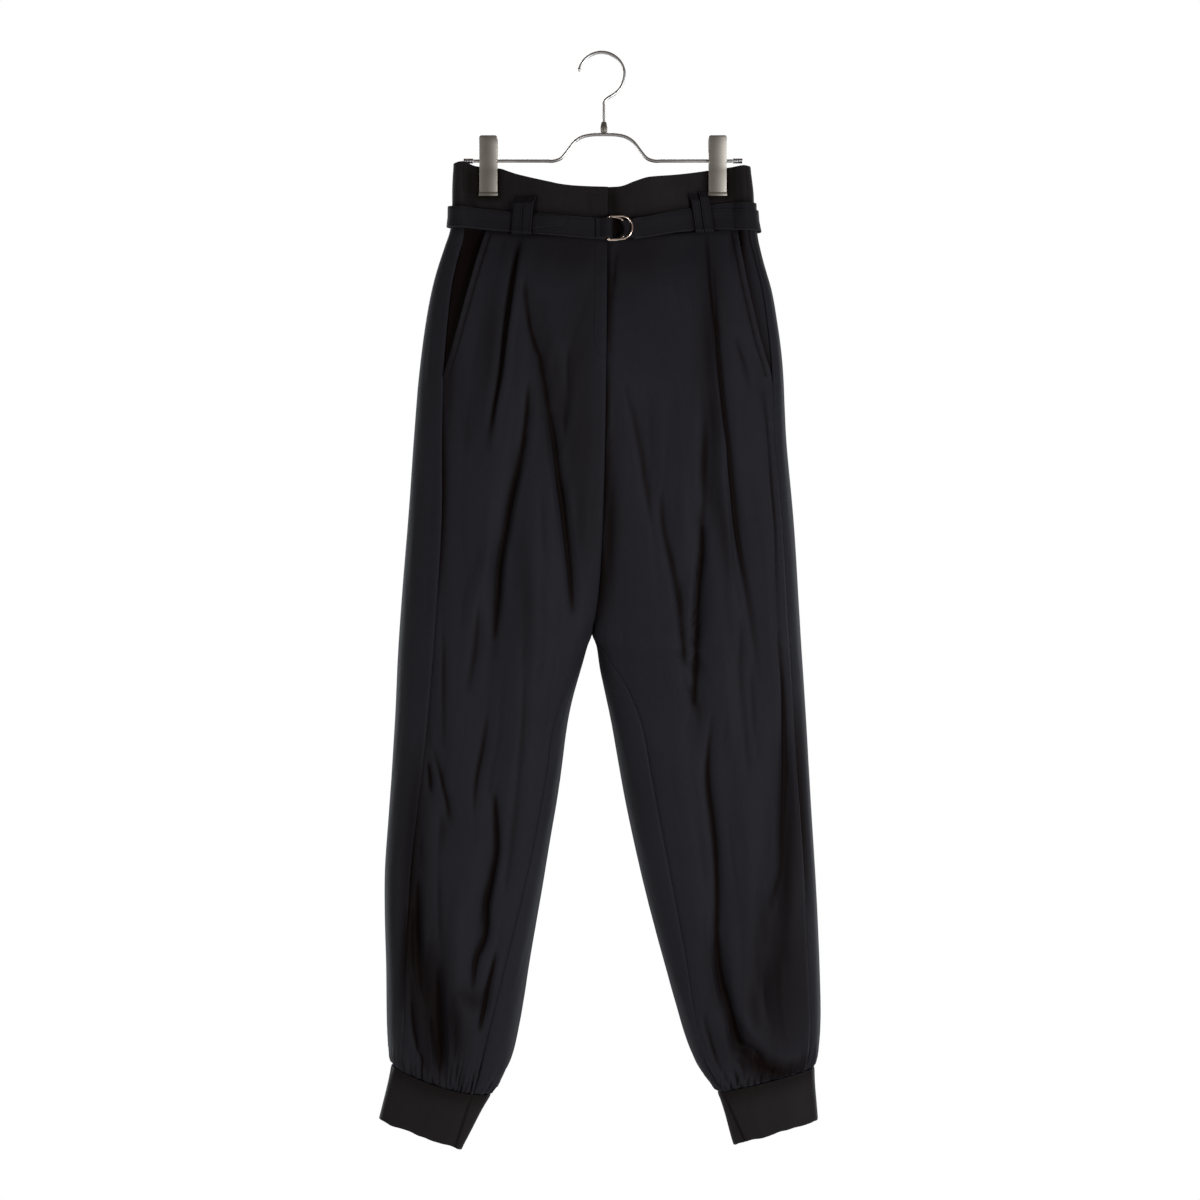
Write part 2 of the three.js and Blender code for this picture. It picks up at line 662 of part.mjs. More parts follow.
// The pocket's edge gapes a little off the facing.
function pocketGape(leg, level, distance) {
  const t = (level - waistSeam) / (pocketBottom - waistSeam);
  if (t > 1) return 0;
  return 2.6 * Math.sin(Math.PI * t) * Math.exp((distance - pocketMouthAt(leg, level)) / 12);
}

const frontColumns = { outside: 5, pleat: 1, inside: 11 };

function frontPanel(leg) {
  const rows = trimmedLevels.map((level) => {
    const many = level > gatherFrom ? 2 : 1;
    const edge = level < pocketBottom ? pocketMouthAt(leg, level) : sideSeamAt(leg, level);
    const start = nudge(leg, level, frontAngle(leg, level, edge), gap / 2);
    const fold = through(leg.pleat, "level", "at", level);
    const foldWide = through(leg.pleat, "level", "wide", level);
    const foot = frontAngle(leg, level, fold + foldWide);
    const crest = frontAngle(leg, level, fold);
    const end = level < crotch
      ? frontAngle(leg, level, sectionAt(leg, level).inner)
      : nudge(leg, level, frontAngle(leg, level, inseamAt(leg, level)), -gap / 2);
    const angles = [
      ...spread(leg, level, start, foot, frontColumns.outside * many).slice(0, -1),
      ...spread(leg, level, foot, crest, frontColumns.pleat * many).slice(0, -1),
      ...spread(leg, level, crest, end, frontColumns.inside * many),
    ];
    return angles.map((angle, j) => {
      const distance = leg.side * wornPoint(leg, angle, level).x;
      const gathers = gatherHeight(j / (angles.length - 1), level, leg.side);
      return place(leg, angle, level, pocketGape(leg, level, distance) + gathers);
    });
  });
  return clothWall(rows, clothThick);
}

const backColumns = 18;

function backPanel(leg) {
  const rows = trimmedLevels.map((level) => {
    const many = level > gatherFrom ? 2 : 1;
    const side = nudge(leg, level, frontAngle(leg, level, sideSeamAt(leg, level)), -gap / 2);
    const end = level < crotch
      ? -frontAngle(leg, level, sectionAt(leg, level).inner)
      : nudge(leg, level, frontAngle(leg, level, inseamAt(leg, level)) - 360, gap / 2);
    return spread(leg, level, side, end, backColumns * many).map((angle, j, all) =>
      place(leg, angle, level, gatherHeight(j / (all.length - 1), level, 3 + leg.side)));
  });
  return clothWall(rows, clothThick);
}

// The facing shows in the pocket mouth; its edges lie under the back panel and under the front one.
function pocketFacing(leg) {
  const under = { back: 3.5, front: 12 };
  const columns = 5;
  const sunk = { side: clothThick + 0.9, mouth: clothThick + 1.6 };
  const levels = [...trimmedLevels.filter((level) => level < pocketBottom), pocketBottom + 5];
  const rows = levels.map((level) => {
    const from = nudge(leg, level, frontAngle(leg, level, sideSeamAt(leg, level)), -under.back);
    const to = frontAngle(leg, level, pocketMouthAt(leg, level) - under.front);
    return spread(leg, level, from, to, columns).map((angle, j) =>
      place(leg, angle, level, -mix(sunk.side, sunk.mouth, ease(j / columns, 0.1, 0.6))));
  });
  return clothWall(rows, clothThick);
}

for (const leg of legs) {
  add(`front_panel_${leg.name}`, frontPanel(leg), finish.cloth);
  add(`back_panel_${leg.name}`, backPanel(leg), finish.cloth);
  add(`pocket_facing_${leg.name}`, pocketFacing(leg), finish.cloth);
}

// The strip behind the front opening, which shows in the centre seam.
const flyBottom = 300;
const flyReach = [
  { level: waistSeam, right: 12, left: 14 },
  { level: 262, right: 11, left: 14 },
  { level: 288, right: 7, left: 10 },
  { level: flyBottom, right: 3, left: 3 },
];
const flyLevels = trimmedLevels.filter((level) => level < flyBottom - 1);
const flyRows = [...flyLevels, 288, flyBottom].map((level) => {
  const onLeg = (leg, reach) => [reach, reach / 2, gap].map((off) =>
    place(leg, frontAngle(leg, level, sectionAt(leg, level).inner + off), level, -clothThick - gap));
  const rightHalf = onLeg(right, through(flyReach, "level", "right", level));
  const leftHalf = onLeg(left, through(flyReach, "level", "left", level)).reverse();
  return [...rightHalf, ...leftHalf];
});
add("fly_placket", clothWall(flyRows, clothThick), finish.cloth);

// ---------------------------------------------------------------- waistband

const bandLevels = [bandTop, 131, 145, 160, waistSeam - gap / 2];

// Places along the waist from an x on one face round to an x on another, by way of the side or the centre.
function bandRow(level, stretches, sunk) {
  return stretches.flatMap(({ leg, from, to, columns }, k) => {
    const ends = [from, to].map(({ face, x }) => angleAtX(leg, face, level, x));
    const angles = spread(leg, level, ends[0], ends[1], columns);
    return angles.slice(k === 0 ? 0 : 1).map((angle) => {
      const x = wornPoint(leg, angle, level).x;
      return place(leg, angle, level, Math.sin(radians(angle)) > 0 ? -sunk(x) : 0);
    });
  });
}

const sideX = (leg, level) => leg.side * sideSeamAt(leg, level);
const centreX = (leg, level) => leg.side * sectionAt(leg, level).inner;

const bandRight = bandLevels.map((level) => bandRow(level, [{
  leg: right,
  from: { face: "front", x: sideX(right, level) + gap / 2 },
  to: { face: "front", x: centreX(right, level) },
  columns: 16,
}], () => 0));

// The under end runs on past the centre, sunk behind the end that laps over it.
const lapSunk = (x) => (doubleThick + gap) * (1 - ease(x, lapEdge + 1, lapEdge + 20));
const bandLeft = bandLevels.map((level) => [
  ...bandRow(level, [{
    leg: right,
    from: { face: "front", x: lapEdge - lapHidden },
    to: { face: "front", x: centreX(right, level) - 3 },
    columns: 3,
  }], lapSunk),
  ...bandRow(level, [{
    leg: left,
    from: { face: "front", x: centreX(left, level) + 1 },
    to: { face: "front", x: sideX(left, level) - gap / 2 },
    columns: 16,
  }], lapSunk),
]);

const bandBack = bandLevels.map((level) => [
  ...bandRow(level, [{
    leg: right,
    from: { face: "front", x: sideX(right, level) - gap / 2 },
    to: { face: "back", x: centreX(right, level) + backShift - 3 },
    columns: 17,
  }], () => 0),
  ...bandRow(level, [{
    leg: left,
    from: { face: "back", x: centreX(left, level) + backShift + 3 },
    to: { face: "front", x: sideX(left, level) + gap / 2 },
    columns: 17,
  }], () => 0),
]);

add("waistband_front_right", clothWall(bandRight, doubleThick), finish.cloth);
add("waistband_front_left", clothWall(bandLeft, doubleThick), finish.cloth);
add("waistband_back", clothWall(bandBack, doubleThick), finish.cloth);

// ---------------------------------------------------------------- cuffs

const cuffLevels = [cuffSeam + gap / 2, 1032, 1046, 1062, cuffEnd];
const cuffColumns = 28;

for (const leg of legs) {
  const rows = cuffLevels.map((level) =>
    spread(leg, level, 0, -360, cuffColumns).slice(0, -1).map((angle) => place(leg, angle, level)));
  add(`cuff_${leg.name}`, clothWall(rows, doubleThick, true), finish.cloth);
}

// ---------------------------------------------------------------- belt

// A place at an x and a drop on the front or the back of the waist, lifted off it.
function waistPlace(face, x, drop, lift) {
  const leg = x < lapEdge + (face === "back" ? backShift : 0) ? right : left;
  let level = waistSeam;
  for (let k = 0; k < 3; k++) level = levelAt(leg, angleAtX(leg, face, level, x), drop);
  const angle = angleAtX(leg, face, level, x);
  const normal = wornNormal(leg, angle, level);
  return { middle: wornPoint(leg, angle, level).addScaledVector(normal, lift), normal };
}

// Half the thickness of the belt out from its middle, on the side that normal points to.
const beltFace = (middle, normal) =>
  ({ outer: middle.addScaledVector(normal, beltThick / 2), normal });

// The angles at which both layers of the belt have their rows, from the front round a side to the back.
const beltLevel = waistSeam - 10;
const beltStart = { right: 0, left: 42 };
const beltAngles = (leg, columns) => spread(
  leg,
  beltLevel,
  angleAtX(leg, "front", beltLevel, beltStart[leg.name]),
  angleAtX(leg, "back", beltLevel, lapEdge + backShift + 4 * leg.side),
  columns,
);
const beltStations = { right: beltAngles(right, 34), left: beltAngles(left, 32) };

// Rows at some angles. middles holds the belt's middle line on the front and on the back; edges may give
// other edges at a place. facing is -1 where the belt's other side is outermost.
function beltRun(leg, angles, { lift, middles, facing, edges }) {
  return angles.map((angle) => {
    const face = Math.sin(radians(angle)) >= 0 ? "front" : "back";
    const { x } = wornPoint(leg, angle, beltLevel);
    const middle = through(middles[face], "x", "drop", x);
    const [upper, lower] = edges?.(x, face) ?? [middle - beltHalf, middle + beltHalf];
    return [lower, (upper + lower) / 2, upper].map((drop) => {
      const at = levelAt(leg, angle, drop);
      const normal = wornNormal(leg, angle, at);
      const point = wornPoint(leg, angle, at).addScaledVector(normal, lift);
      return beltFace(point, normal.multiplyScalar(facing));
    });
  });
}

// A row where the belt turns over near the rings. lean is how far its face has turned from the front
// towards the side that toward points to; shares run across the belt's half width.
function turnRow({ x, lift, lean, half, toward, shares }) {
  return shares.map((share) => {
    const own = typeof x === "function" ? x(share * half) : x;
    const drop = through(strapFront, "x", "drop", own) + share * half;
    const { middle, normal } = waistPlace("front", own, drop, lift);
    const turned = normal.clone().multiplyScalar(Math.cos(radians(lean)));
    turned.x += toward * Math.sin(radians(lean));
    return beltFace(middle, turned.normalize());
  });
}

const threeAcross = [1, 0, -1];
const fiveAcross = [1, 0.5, 0, -0.5, -1];

// The rings' straight bars lie in the strap's folded end, one over the other. rise is how fast a ring
// stands off the belt towards its round side.
const lowLift = strapLift + beltThick / 2 + 2 * gap + ringWire / 2;
const lowRing = { barX: 4.5, arcX: 11.5, lift: lowLift, rise: 0 };
const highRing = { barX: 6, arcX: 17.5, lift: lowRing.lift + ringWire + gap, rise: 0.13 };

const foldHalf = 10.3; // half of the strap's width where it holds the rings
const foldTop = highRing.lift + ringWire / 2 + gap + beltThick / 2;
const loopFold = { x: 5.4, lift: (foldTop + strapLift) / 2, radius: (foldTop - strapLift) / 2 };
const strapEndRows = [
  { x: -7, lift: tailLift },
  { x: -3, lift: tailLift + 0.4 },
  { x: 0.5, lift: foldTop - 1.4 },
  { x: 3.4, lift: foldTop },
].map(({ x, lift }) => turnRow({ x, lift, lean: 0, half: foldHalf, toward: 1, shares: threeAcross }));
const strapTurnRows = [0, 30, 60, 90, 120, 150, 180].map((lean) => turnRow({
  x: loopFold.x + loopFold.radius * Math.sin(radians(lean)),
  lift: loopFold.lift + loopFold.radius * Math.cos(radians(lean)),
  lean,
  half: foldHalf,
  toward: 1,
  shares: threeAcross,
}));
const strapLayer = { lift: strapLift, middles: { front: strapFront, back: strapBack }, facing: -1 };
const tailLayer = { lift: tailLift, middles: { front: tailFront, back: tailBack }, facing: 1 };
const ringSide = 30; // where the strap ends behind the rings and the tail begins

const nearRing = [36, ringSide + gap].map((x) => angleAtX(left, "front", beltLevel, x));
const strapRows = [
  ...strapEndRows,
  ...strapTurnRows,
  ...beltRun(right, beltStations.right, strapLayer),
  ...beltRun(left, [...beltStations.left.toReversed(), ...nearRing], strapLayer),
];
add("belt_strap", clothWall(strapRows, beltThick), finish.cloth);

// The tail turns over the low ring's round side, drawn narrow in it.
const foldLift = { middle: lowRing.lift, radius: lowRing.lift - strapLift };
const arcReach = (across) => Math.sqrt(ringRadius ** 2 - across ** 2);
const tailTurnRows = [180, 150, 120, 90, 60, 30, 0].map((lean) => turnRow({
  x: (across) => lowRing.arcX + arcReach(across)
    - (foldLift.radius * ringRadius / arcReach(across)) * Math.sin(radians(lean)),
  lift: foldLift.middle + foldLift.radius * Math.cos(radians(lean)),
  lean,
  half: 7.5,
  toward: -1,
  shares: fiveAcross,
}));
const tailStartRow = turnRow({
  x: ringSide, lift: strapLift, lean: 180, half: 9.5, toward: -1, shares: fiveAcross,
});
const tailLeaveRows = [
  { x: 27, lift: foldLift.middle + foldLift.radius, half: 8.4 },
  { x: 31, lift: tailLift + 1.6, half: 9.6 },
  { x: 36, lift: tailLift + 0.2, half: 10.3 },
].map((row) => turnRow({ ...row, lean: 0, toward: 1, shares: fiveAcross }));
const tipEdges = (x, face) => face === "front" && x > tip[0].x
  ? [through(tip, "x", "upper", x), through(tip, "x", "lower", x)]
  : null;
const tipAngles = tip.slice(-3).map(({ x }) => angleAtX(right, "front", beltLevel, x));
const behindTip = beltStations.right.filter((angle) => angle < tipAngles[0] - 0.5).toReversed();
const tailRows = [
  tailStartRow,
  ...tailTurnRows,
  ...tailLeaveRows,
  ...beltRun(left, beltStations.left, tailLayer),
  ...beltRun(right, [...behindTip, ...tipAngles], { ...tailLayer, edges: tipEdges }),
];
add("belt_tail", clothWall(tailRows, beltThick), finish.cloth);

// ---------------------------------------------------------------- D rings

const ringSides = 6;
const ringBend = 1.6; // radius of the corners between bar and arms

// The middle of the wire of a D ring, as { x, across } round its outline.
function ringOutline({ barX, arcX }) {
  const arc = (cx, cy, radius, from, to, count) => Array.from({ length: count + 1 }, (_, k) => {
    const turn = radians(mix(from, to, k / count));
    return { x: cx + radius * Math.cos(turn), across: cy + radius * Math.sin(turn) };
  });
  const corner = ringRadius - ringBend;
  return [
    ...arc(arcX, 0, ringRadius, -90, 90, 14),
    ...arc(barX + ringBend, corner, ringBend, 90, 180, 3),
    ...arc(barX + ringBend, -corner, ringBend, 180, 270, 3),
  ];
}

function dRing(ring) {
  const seat = waistPlace("front", 12, through(strapFront, "x", "drop", 12), 0);
  const sideways = new THREE.Vector3(1, 0, 0);
  const down = new THREE.Vector3().crossVectors(seat.normal, sideways).normalize();
  if (down.z > 0) down.negate();
  const middles = ringOutline(ring).map(({ x, across }) => seat.middle.clone()
    .addScaledVector(sideways, x - 12)
    .addScaledVector(down, across)
    .addScaledVector(seat.normal, ring.lift + ring.rise * (x - ring.barX)));
  const count = middles.length;
  const rings = middles.map((middle, k) => {
    const ahead = middles[(k + 1) % count].clone().sub(middles[(k + count - 1) % count]).normalize();
    const across = new THREE.Vector3().crossVectors(ahead, seat.normal).normalize();
    const up = new THREE.Vector3().crossVectors(across, ahead);
    return Array.from({ length: ringSides }, (_, j) => {
      const turn = (2 * Math.PI * j) / ringSides;
      return middle.clone()
        .addScaledVector(across, (ringWire / 2) * Math.cos(turn))
        .addScaledVector(up, (ringWire / 2) * Math.sin(turn));
    });
  });
  return loft(rings, true);
}

add("ring_1", dRing(lowRing), finish.ring);
add("ring_2", dRing(highRing), finish.ring);

// ---------------------------------------------------------------- belt loops

// The outer face of a loop: it leaves the waistband, crosses the belt and turns in under it.
const loopOver = tailLift + beltThick / 2 + 2 * gap + clothThick;
const loopPath = [
  { fromTop: 0, lift: clothThick + gap },
  { fromTop: 2.5, lift: 2.9 },
  { fromTop: 6, lift: loopOver - 0.3 },
  { fromTop: 9, lift: loopOver },
  { fromFoot: -8, lift: loopOver },
  { fromFoot: -1.6, lift: loopOver },
  { fromFoot: -0.4, lift: loopOver - 0.6 },
  { fromFoot: 0, lift: loopOver - 1.8 },
  { fromFoot: 0, lift: clothThick + 1 },
];

function beltLoop(loop) {
  const stations = loopPath.map(({ fromTop, fromFoot, lift }) => ({
    drop: fromTop === undefined ? loop.foot + fromFoot : loop.top + fromTop,
    lift,
  }));
  const rows = stations.map((station, k) => {
    const before = stations[Math.max(k - 1, 0)];
    const after = stations[Math.min(k + 1, stations.length - 1)];
    const lean = Math.atan2(before.lift - after.lift, after.drop - before.drop);
    const t = (station.drop - loop.top) / (loop.foot - loop.top);
    const middleX = mix(loop.x, loop.footX, t);
    return [-1, 0, 1].map((side) => {
      const x = middleX + (side * loop.wide) / 2;
      const { middle, normal } = waistPlace(loop.face, x, station.drop, station.lift);
      const turned = normal.clone().multiplyScalar(Math.cos(lean));
      turned.z -= Math.sin(lean);
      return { outer: middle, normal: turned.normalize() };
    });
  });
  return clothWall(rows, clothThick);
}

for (const loop of loops) add(loop.name, beltLoop(loop), finish.cloth);

// ---------------------------------------------------------------- hanger

const hookCentreZ = wire / 2 - hookRadius; // the wire's underside at the hook's top is the origin
const hookEnds = { tip: 166, neck: -57 }; // degrees round the hook, from the left's direction
const bend = { z: -46.6, reach: 5 };
const stemBottom = -77.4;

const hookPath = new THREE.Path();
hookPath.absarc(hookX, hookCentreZ, hookRadius, radians(hookEnds.tip), radians(hookEnds.neck), true);
const neck = new THREE.Vector2(
  hookX + hookRadius * Math.cos(radians(hookEnds.neck)),
  hookCentreZ + hookRadius * Math.sin(radians(hookEnds.neck)),
);
const bendStart = neck.clone().lerp(new THREE.Vector2(stemX, bend.z), 0.6);
hookPath.lineTo(bendStart.x, bendStart.y);
hookPath.quadraticCurveTo(stemX, bend.z, stemX, bend.z - bend.reach);
hookPath.lineTo(stemX, stemBottom);

const roundSteps = Array.from({ length: 24 }, (_, k) => mix(0.06, 0.7, k / 23));
const hookSteps = [0, 0.022, 0.03, ...roundSteps, 0.72, 0.74, 0.76, 0.78, 0.8, 1];
const hookRings = hookSteps.map((t) => {
  const at = hookPath.getPointAt(t);
  const ahead = hookPath.getTangentAt(t);
  const radius = t < 0.025 ? wire / 2 + 0.45 : wire / 2; // the tip is a little thicker
  return ringAround(new THREE.Vector3(at.x, 0, at.y), new THREE.Vector3(ahead.x, 0, ahead.y), radius, 8);
});
add("hanger_hook", loft(hookRings), finish.metal);

const ferrule = { top: -68, shoulder: -73, bottom: -78.4, neckRadius: 2.7, radius: 3.6 };
const ferruleBore = wire / 2 + gap;
const ferruleProfile = [
  [ferruleBore, ferrule.bottom],
  [ferrule.radius, ferrule.bottom],
  [ferrule.radius, ferrule.shoulder],
  [ferrule.neckRadius, ferrule.top],
  [ferruleBore, ferrule.top],
  [ferruleBore, ferrule.bottom],
].map(([radius, z]) => new THREE.Vector2(radius, z));
const ferruleBody = new THREE.LatheGeometry(ferruleProfile, 16).rotateX(Math.PI / 2);
add("hanger_ferrule", ferruleBody.translate(stemX, 0, 0), finish.metal);

const archOuts = [barHalf, 60, 54, 50, 46, 42.5, 39.5, 36.5, 33, 30, 26, 22.5, 18, 13, 7];
const barPoints = [...archOuts.map((out) => -out), 0, ...archOuts.toReversed()].map((out) => {
  const x = Math.abs(out) === barHalf ? out : stemX + out;
  return new THREE.Vector3(x, 0, -through(arch, "out", "drop", Math.abs(out)));
});
const barRings = barPoints.map((point, k) => {
  const ahead = barPoints[Math.min(k + 1, barPoints.length - 1)].clone().sub(barPoints[Math.max(k - 1, 0)]);
  return ringAround(point, ahead.normalize(), wire / 2, 8);
});
add("hanger_bar", loft(barRings), finish.metal);

const cap = { radius: 2.6, length: 9.6 };
for (const leg of legs) {
  const geometry = new THREE.CylinderGeometry(cap.radius, cap.radius, cap.length, 16)
    .rotateZ(Math.PI / 2)
    .translate(leg.side * (barHalf + gap + cap.length / 2), 0, -barDrop);
  add(`bar_cap_${leg.name}`, geometry, finish.metal);
}

// A clip's plate: its side outline, drawn through the metal's middle and thickened, pushed out sideways.
function clipPlate(side) {
  const middles = plate.map(({ deep, drop }) => new THREE.Vector2(side * deep, -drop));
  const offsets = middles.map((_, k) => {
    const run = middles[Math.min(k + 1, middles.length - 1)].clone().sub(middles[Math.max(k - 1, 0)]);
    return new THREE.Vector2(-run.y, run.x).normalize().multiplyScalar(clipThick / 2);
  });
  const outline = [
    ...middles.map((middle, k) => middle.clone().add(offsets[k])),
    ...middles.map((middle, k) => middle.clone().sub(offsets[k])).reverse(),
  ];
  const axes = new THREE.Matrix4().makeBasis(
    new THREE.Vector3(0, 1, 0), new THREE.Vector3(0, 0, 1), new THREE.Vector3(1, 0, 0));
  return new THREE.ExtrudeGeometry(new THREE.Shape(outline), { depth: clipWidth, bevelEnabled: false })
    .translate(0, 0, -clipWidth / 2)
    .applyMatrix4(axes);
}

const spring = { outer: 3.9, length: 13 };
const springProfile = [
  [wire / 2 + gap, -spring.length / 2],
  [spring.outer, -spring.length / 2],
  [spring.outer, spring.length / 2],
  [wire / 2 + gap, spring.length / 2],
  [wire / 2 + gap, -spring.length / 2],
].map(([radius, along]) => new THREE.Vector2(radius, along));

for (const leg of legs) {
  const x = leg.side * clipX;
  add(`clip_${leg.name}_front`, clipPlate(-1).translate(x, 0, 0), finish.metal);
  add(`clip_${leg.name}_back`, clipPlate(1).translate(x, 0, 0), finish.metal);
  const sleeve = new THREE.LatheGeometry(springProfile, 18).rotateZ(Math.PI / 2).translate(x, 0, -barDrop);
  add(`clip_${leg.name}_spring`, sleeve, finish.metal);
}

export default joggers;
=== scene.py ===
# %% [markdown]
# # Joggers on a clip hanger
#
# High-waisted joggers in a heavy, near-black crepe hang from a wire hanger with two clips. This file dresses
# the plain solids of the part with finer cloth, sewing, rings and metalwork, one piece at a time.
# Every length is in metres, +Z is up, the garment faces -Y, and the wearer's right side is at -X. The origin
# is the place on the hook that bears on the rail, so everything hangs below it.

import math

import bmesh
import bpy
import numpy as np
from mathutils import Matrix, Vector, kdtree


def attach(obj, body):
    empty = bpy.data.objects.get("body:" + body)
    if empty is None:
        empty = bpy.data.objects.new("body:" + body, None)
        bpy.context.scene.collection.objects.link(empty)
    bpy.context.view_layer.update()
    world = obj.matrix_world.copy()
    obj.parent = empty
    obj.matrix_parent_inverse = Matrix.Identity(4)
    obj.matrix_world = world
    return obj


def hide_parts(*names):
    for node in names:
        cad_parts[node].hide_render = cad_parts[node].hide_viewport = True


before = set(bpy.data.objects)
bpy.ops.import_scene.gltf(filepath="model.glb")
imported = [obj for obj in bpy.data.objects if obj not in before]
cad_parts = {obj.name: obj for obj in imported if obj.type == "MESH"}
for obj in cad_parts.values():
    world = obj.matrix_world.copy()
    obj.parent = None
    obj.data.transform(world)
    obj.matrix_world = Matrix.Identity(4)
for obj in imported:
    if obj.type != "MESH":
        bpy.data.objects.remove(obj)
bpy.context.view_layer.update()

MM = 0.001


def deselect():
    """Nothing selected, so that the next operator acts only on what it makes."""
    if bpy.context.mode != "OBJECT":
        bpy.ops.object.mode_set(mode="OBJECT")
    bpy.ops.object.select_all(action="DESELECT")


def own(piece):
    """Makes one piece the only one that operators act on."""
    deselect()
    piece.select_set(True)
    bpy.context.view_layer.objects.active = piece


# %% [markdown]
# ## Camera, floor and light
#
# The garment is looked at straight from the front, level with its middle, with a long lens from over three
# metres, so that both legs keep their true widths. The floor is as far below the hook as it is under a
# clothes rail. The background is plain white. Dark cloth shows its folds only where a broad light grazes it,
# so one soft light stands level with the knees at the front right, with a weaker and larger one at the left.
# Two more stand behind at the sides and one above, and they draw a pale rim along the outlines.

# %% Camera, floor and light
LENS, SENSOR, VIEW_WIDE = 100, 36, 1.2
VIEW_MIDDLE = (-0.003, -0.546)  # across, and up from the hook
DISTANCE = VIEW_WIDE * LENS / SENSOR

bpy.ops.object.camera_add(location=(VIEW_MIDDLE[0], -DISTANCE, VIEW_MIDDLE[1]), rotation=(math.radians(90), 0, 0))
camera = bpy.context.object
camera.name = "front_camera"
camera.data.lens = LENS
camera.data.sensor_width = SENSOR
bpy.context.scene.camera = camera
bpy.context.scene.view_settings.view_transform = "Standard"

FLOOR, FLOOR_RADIUS = -2.05, 3.9
bpy.ops.mesh.primitive_circle_add(vertices=96, radius=FLOOR_RADIUS, fill_type="NGON", location=(0, 0, FLOOR))
floor = bpy.context.object
floor.name = "floor"


def new_finish(name, values):
    """A material with plain values on its shader; returns it, its nodes and the shader."""
    made = bpy.data.materials.new(name)
    made.use_nodes = True
    body = made.node_tree.nodes["Principled BSDF"]
    for key, value in values.items():
        body.inputs[key].default_value = value
    return made, made.node_tree, body


floor_paint, _, _ = new_finish("pale_floor", {"Base Color": (0.83, 0.83, 0.82, 1), "Roughness": 0.6})
floor.data.materials.append(floor_paint)

world = bpy.data.worlds.new("white_room")
bpy.context.scene.world = world
world.use_nodes = True
sky = world.node_tree
seen, lit = sky.nodes["Background"], sky.nodes.new("ShaderNodeBackground")
which, path = sky.nodes.new("ShaderNodeMixShader"), sky.nodes.new("ShaderNodeLightPath")
for shown, colour, strength in ((seen, (1, 1, 1, 1), 1.0), (lit, (1.0, 0.84, 0.76, 1), 0.16)):
    shown.inputs["Color"].default_value, shown.inputs["Strength"].default_value = colour, strength
sky.links.new(path.outputs["Is Camera Ray"], which.inputs["Fac"])
sky.links.new(lit.outputs[0], which.inputs[1])
sky.links.new(seen.outputs[0], which.inputs[2])
sky.links.new(which.outputs[0], sky.nodes["World Output"].inputs["Surface"])


def soft_light(name, place, aim, wide, high, watts, tint=(1, 1, 1)):
    """A rectangle of soft light at a place, turned to face another."""
    bpy.ops.object.light_add(type="AREA", location=place)
    lamp = bpy.context.object
    lamp.name = name
    lamp.data.shape = "RECTANGLE"
    lamp.data.size, lamp.data.size_y, lamp.data.energy, lamp.data.color = wide, high, watts, tint
    lamp.rotation_euler = (Vector(aim) - Vector(place)).to_track_quat("-Z", "Y").to_euler()


COOL = (0.90, 0.95, 1.0)
soft_light("key_light", (1.15, -1.55, -0.68), (0, 0, -0.66), 0.6, 0.7, 37, COOL)
soft_light("fill_light", (-1.9, -1.7, -0.6), (0, 0, -0.6), 0.9, 1.2, 22, COOL)
for k, x in enumerate((-1.5, 1.5)):
    soft_light(f"rim_light_{k}", (x, 1.0, -0.6), (0, 0, -0.6), 0.9, 1.8, 38, COOL)
soft_light("back_light", (-0.6, 2.2, 0.7), (0, 0, -0.5), 1.4, 1.4, 30)
print("camera", DISTANCE, "m away, with", len(bpy.data.lights), "soft lights")

# %% [markdown]
# ## Reading a cloth wall
#
# Each cloth solid is a thin wall: an outer sheet, an inner sheet and a rim. Finer cloth needs only the outer
# sheet, as rows of points from the top edge down. The rim is the ring of faces whose edges are exactly as
# long as the wall is thick, so those faces come off, the outer sheet is the island that lies further from
# the middle of the garment, and the rows are found by walking down from the top edge.

# %% Rows of a wall's outer sheet
CLOTH, DOUBLE, STRAP = 1.2 * MM, 2 * MM, 1.4 * MM  # thickness of single cloth, folded cloth and the belt
STRIP_ROWS = 5  # a belt's wall is read as this many rows


def read_along(wanted, keys, row):
    """Points of a row read at wanted places, where keys tells how far along each point lies."""
    return np.stack([np.interp(wanted, keys, row[:, k]) for k in range(3)], axis=1)


def outer_island(node, thick):
    """The outer sheet of a wall, as a bmesh of its own."""
    bm = bmesh.new()
    bm.from_mesh(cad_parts[node].data)
    bmesh.ops.remove_doubles(bm, verts=bm.verts, dist=0.02 * MM)
    through = [e for e in bm.edges if abs(e.calc_length() - thick) < 0.002 * thick]
    pairs = [(e.verts[0], e.verts[1]) for e in through]
    rim = {f for e in through for f in e.link_faces}
    bmesh.ops.delete(bm, geom=list(rim), context="FACES_ONLY")
    bm.normal_update()
    reached, waiting = set(), [pairs[0][0]]
    while waiting:
        v = waiting.pop()
        if v in reached:
            continue
        reached.add(v)
        waiting.extend(e.other_vert(v) for e in v.link_edges if e.link_faces)
    middle = sum(v.co.x for v in bm.verts) / len(bm.verts)
    lean = 0
    for a, b in pairs:
        here, there = (a, b) if a in reached else (b, a)
        lean += (here.co - there.co).dot(here.co - Vector((middle, 0, here.co.z)))
    bmesh.ops.delete(bm, geom=[v for v in bm.verts if (v in reached) != (lean > 0)], context="VERTS")
    return bm


def chains(verts):
    """Paths of neighbouring vertices through a set of them, each from one end to the other."""
    left, found = set(verts), []
    links = {v: [e.other_vert(v) for e in v.link_edges if e.other_vert(v) in left] for v in verts}
    starts = [v for v in verts if len(links[v]) == 1] or list(verts)
    for start in starts:
        if start not in left:
            continue
        way, here = [start], start
        left.discard(start)
        while True:
            ahead = [v for v in links[here] if v in left]
            if not ahead:
                break
            here = ahead[0]
            left.discard(here)
            way.append(here)
        found.append(way)
    return found


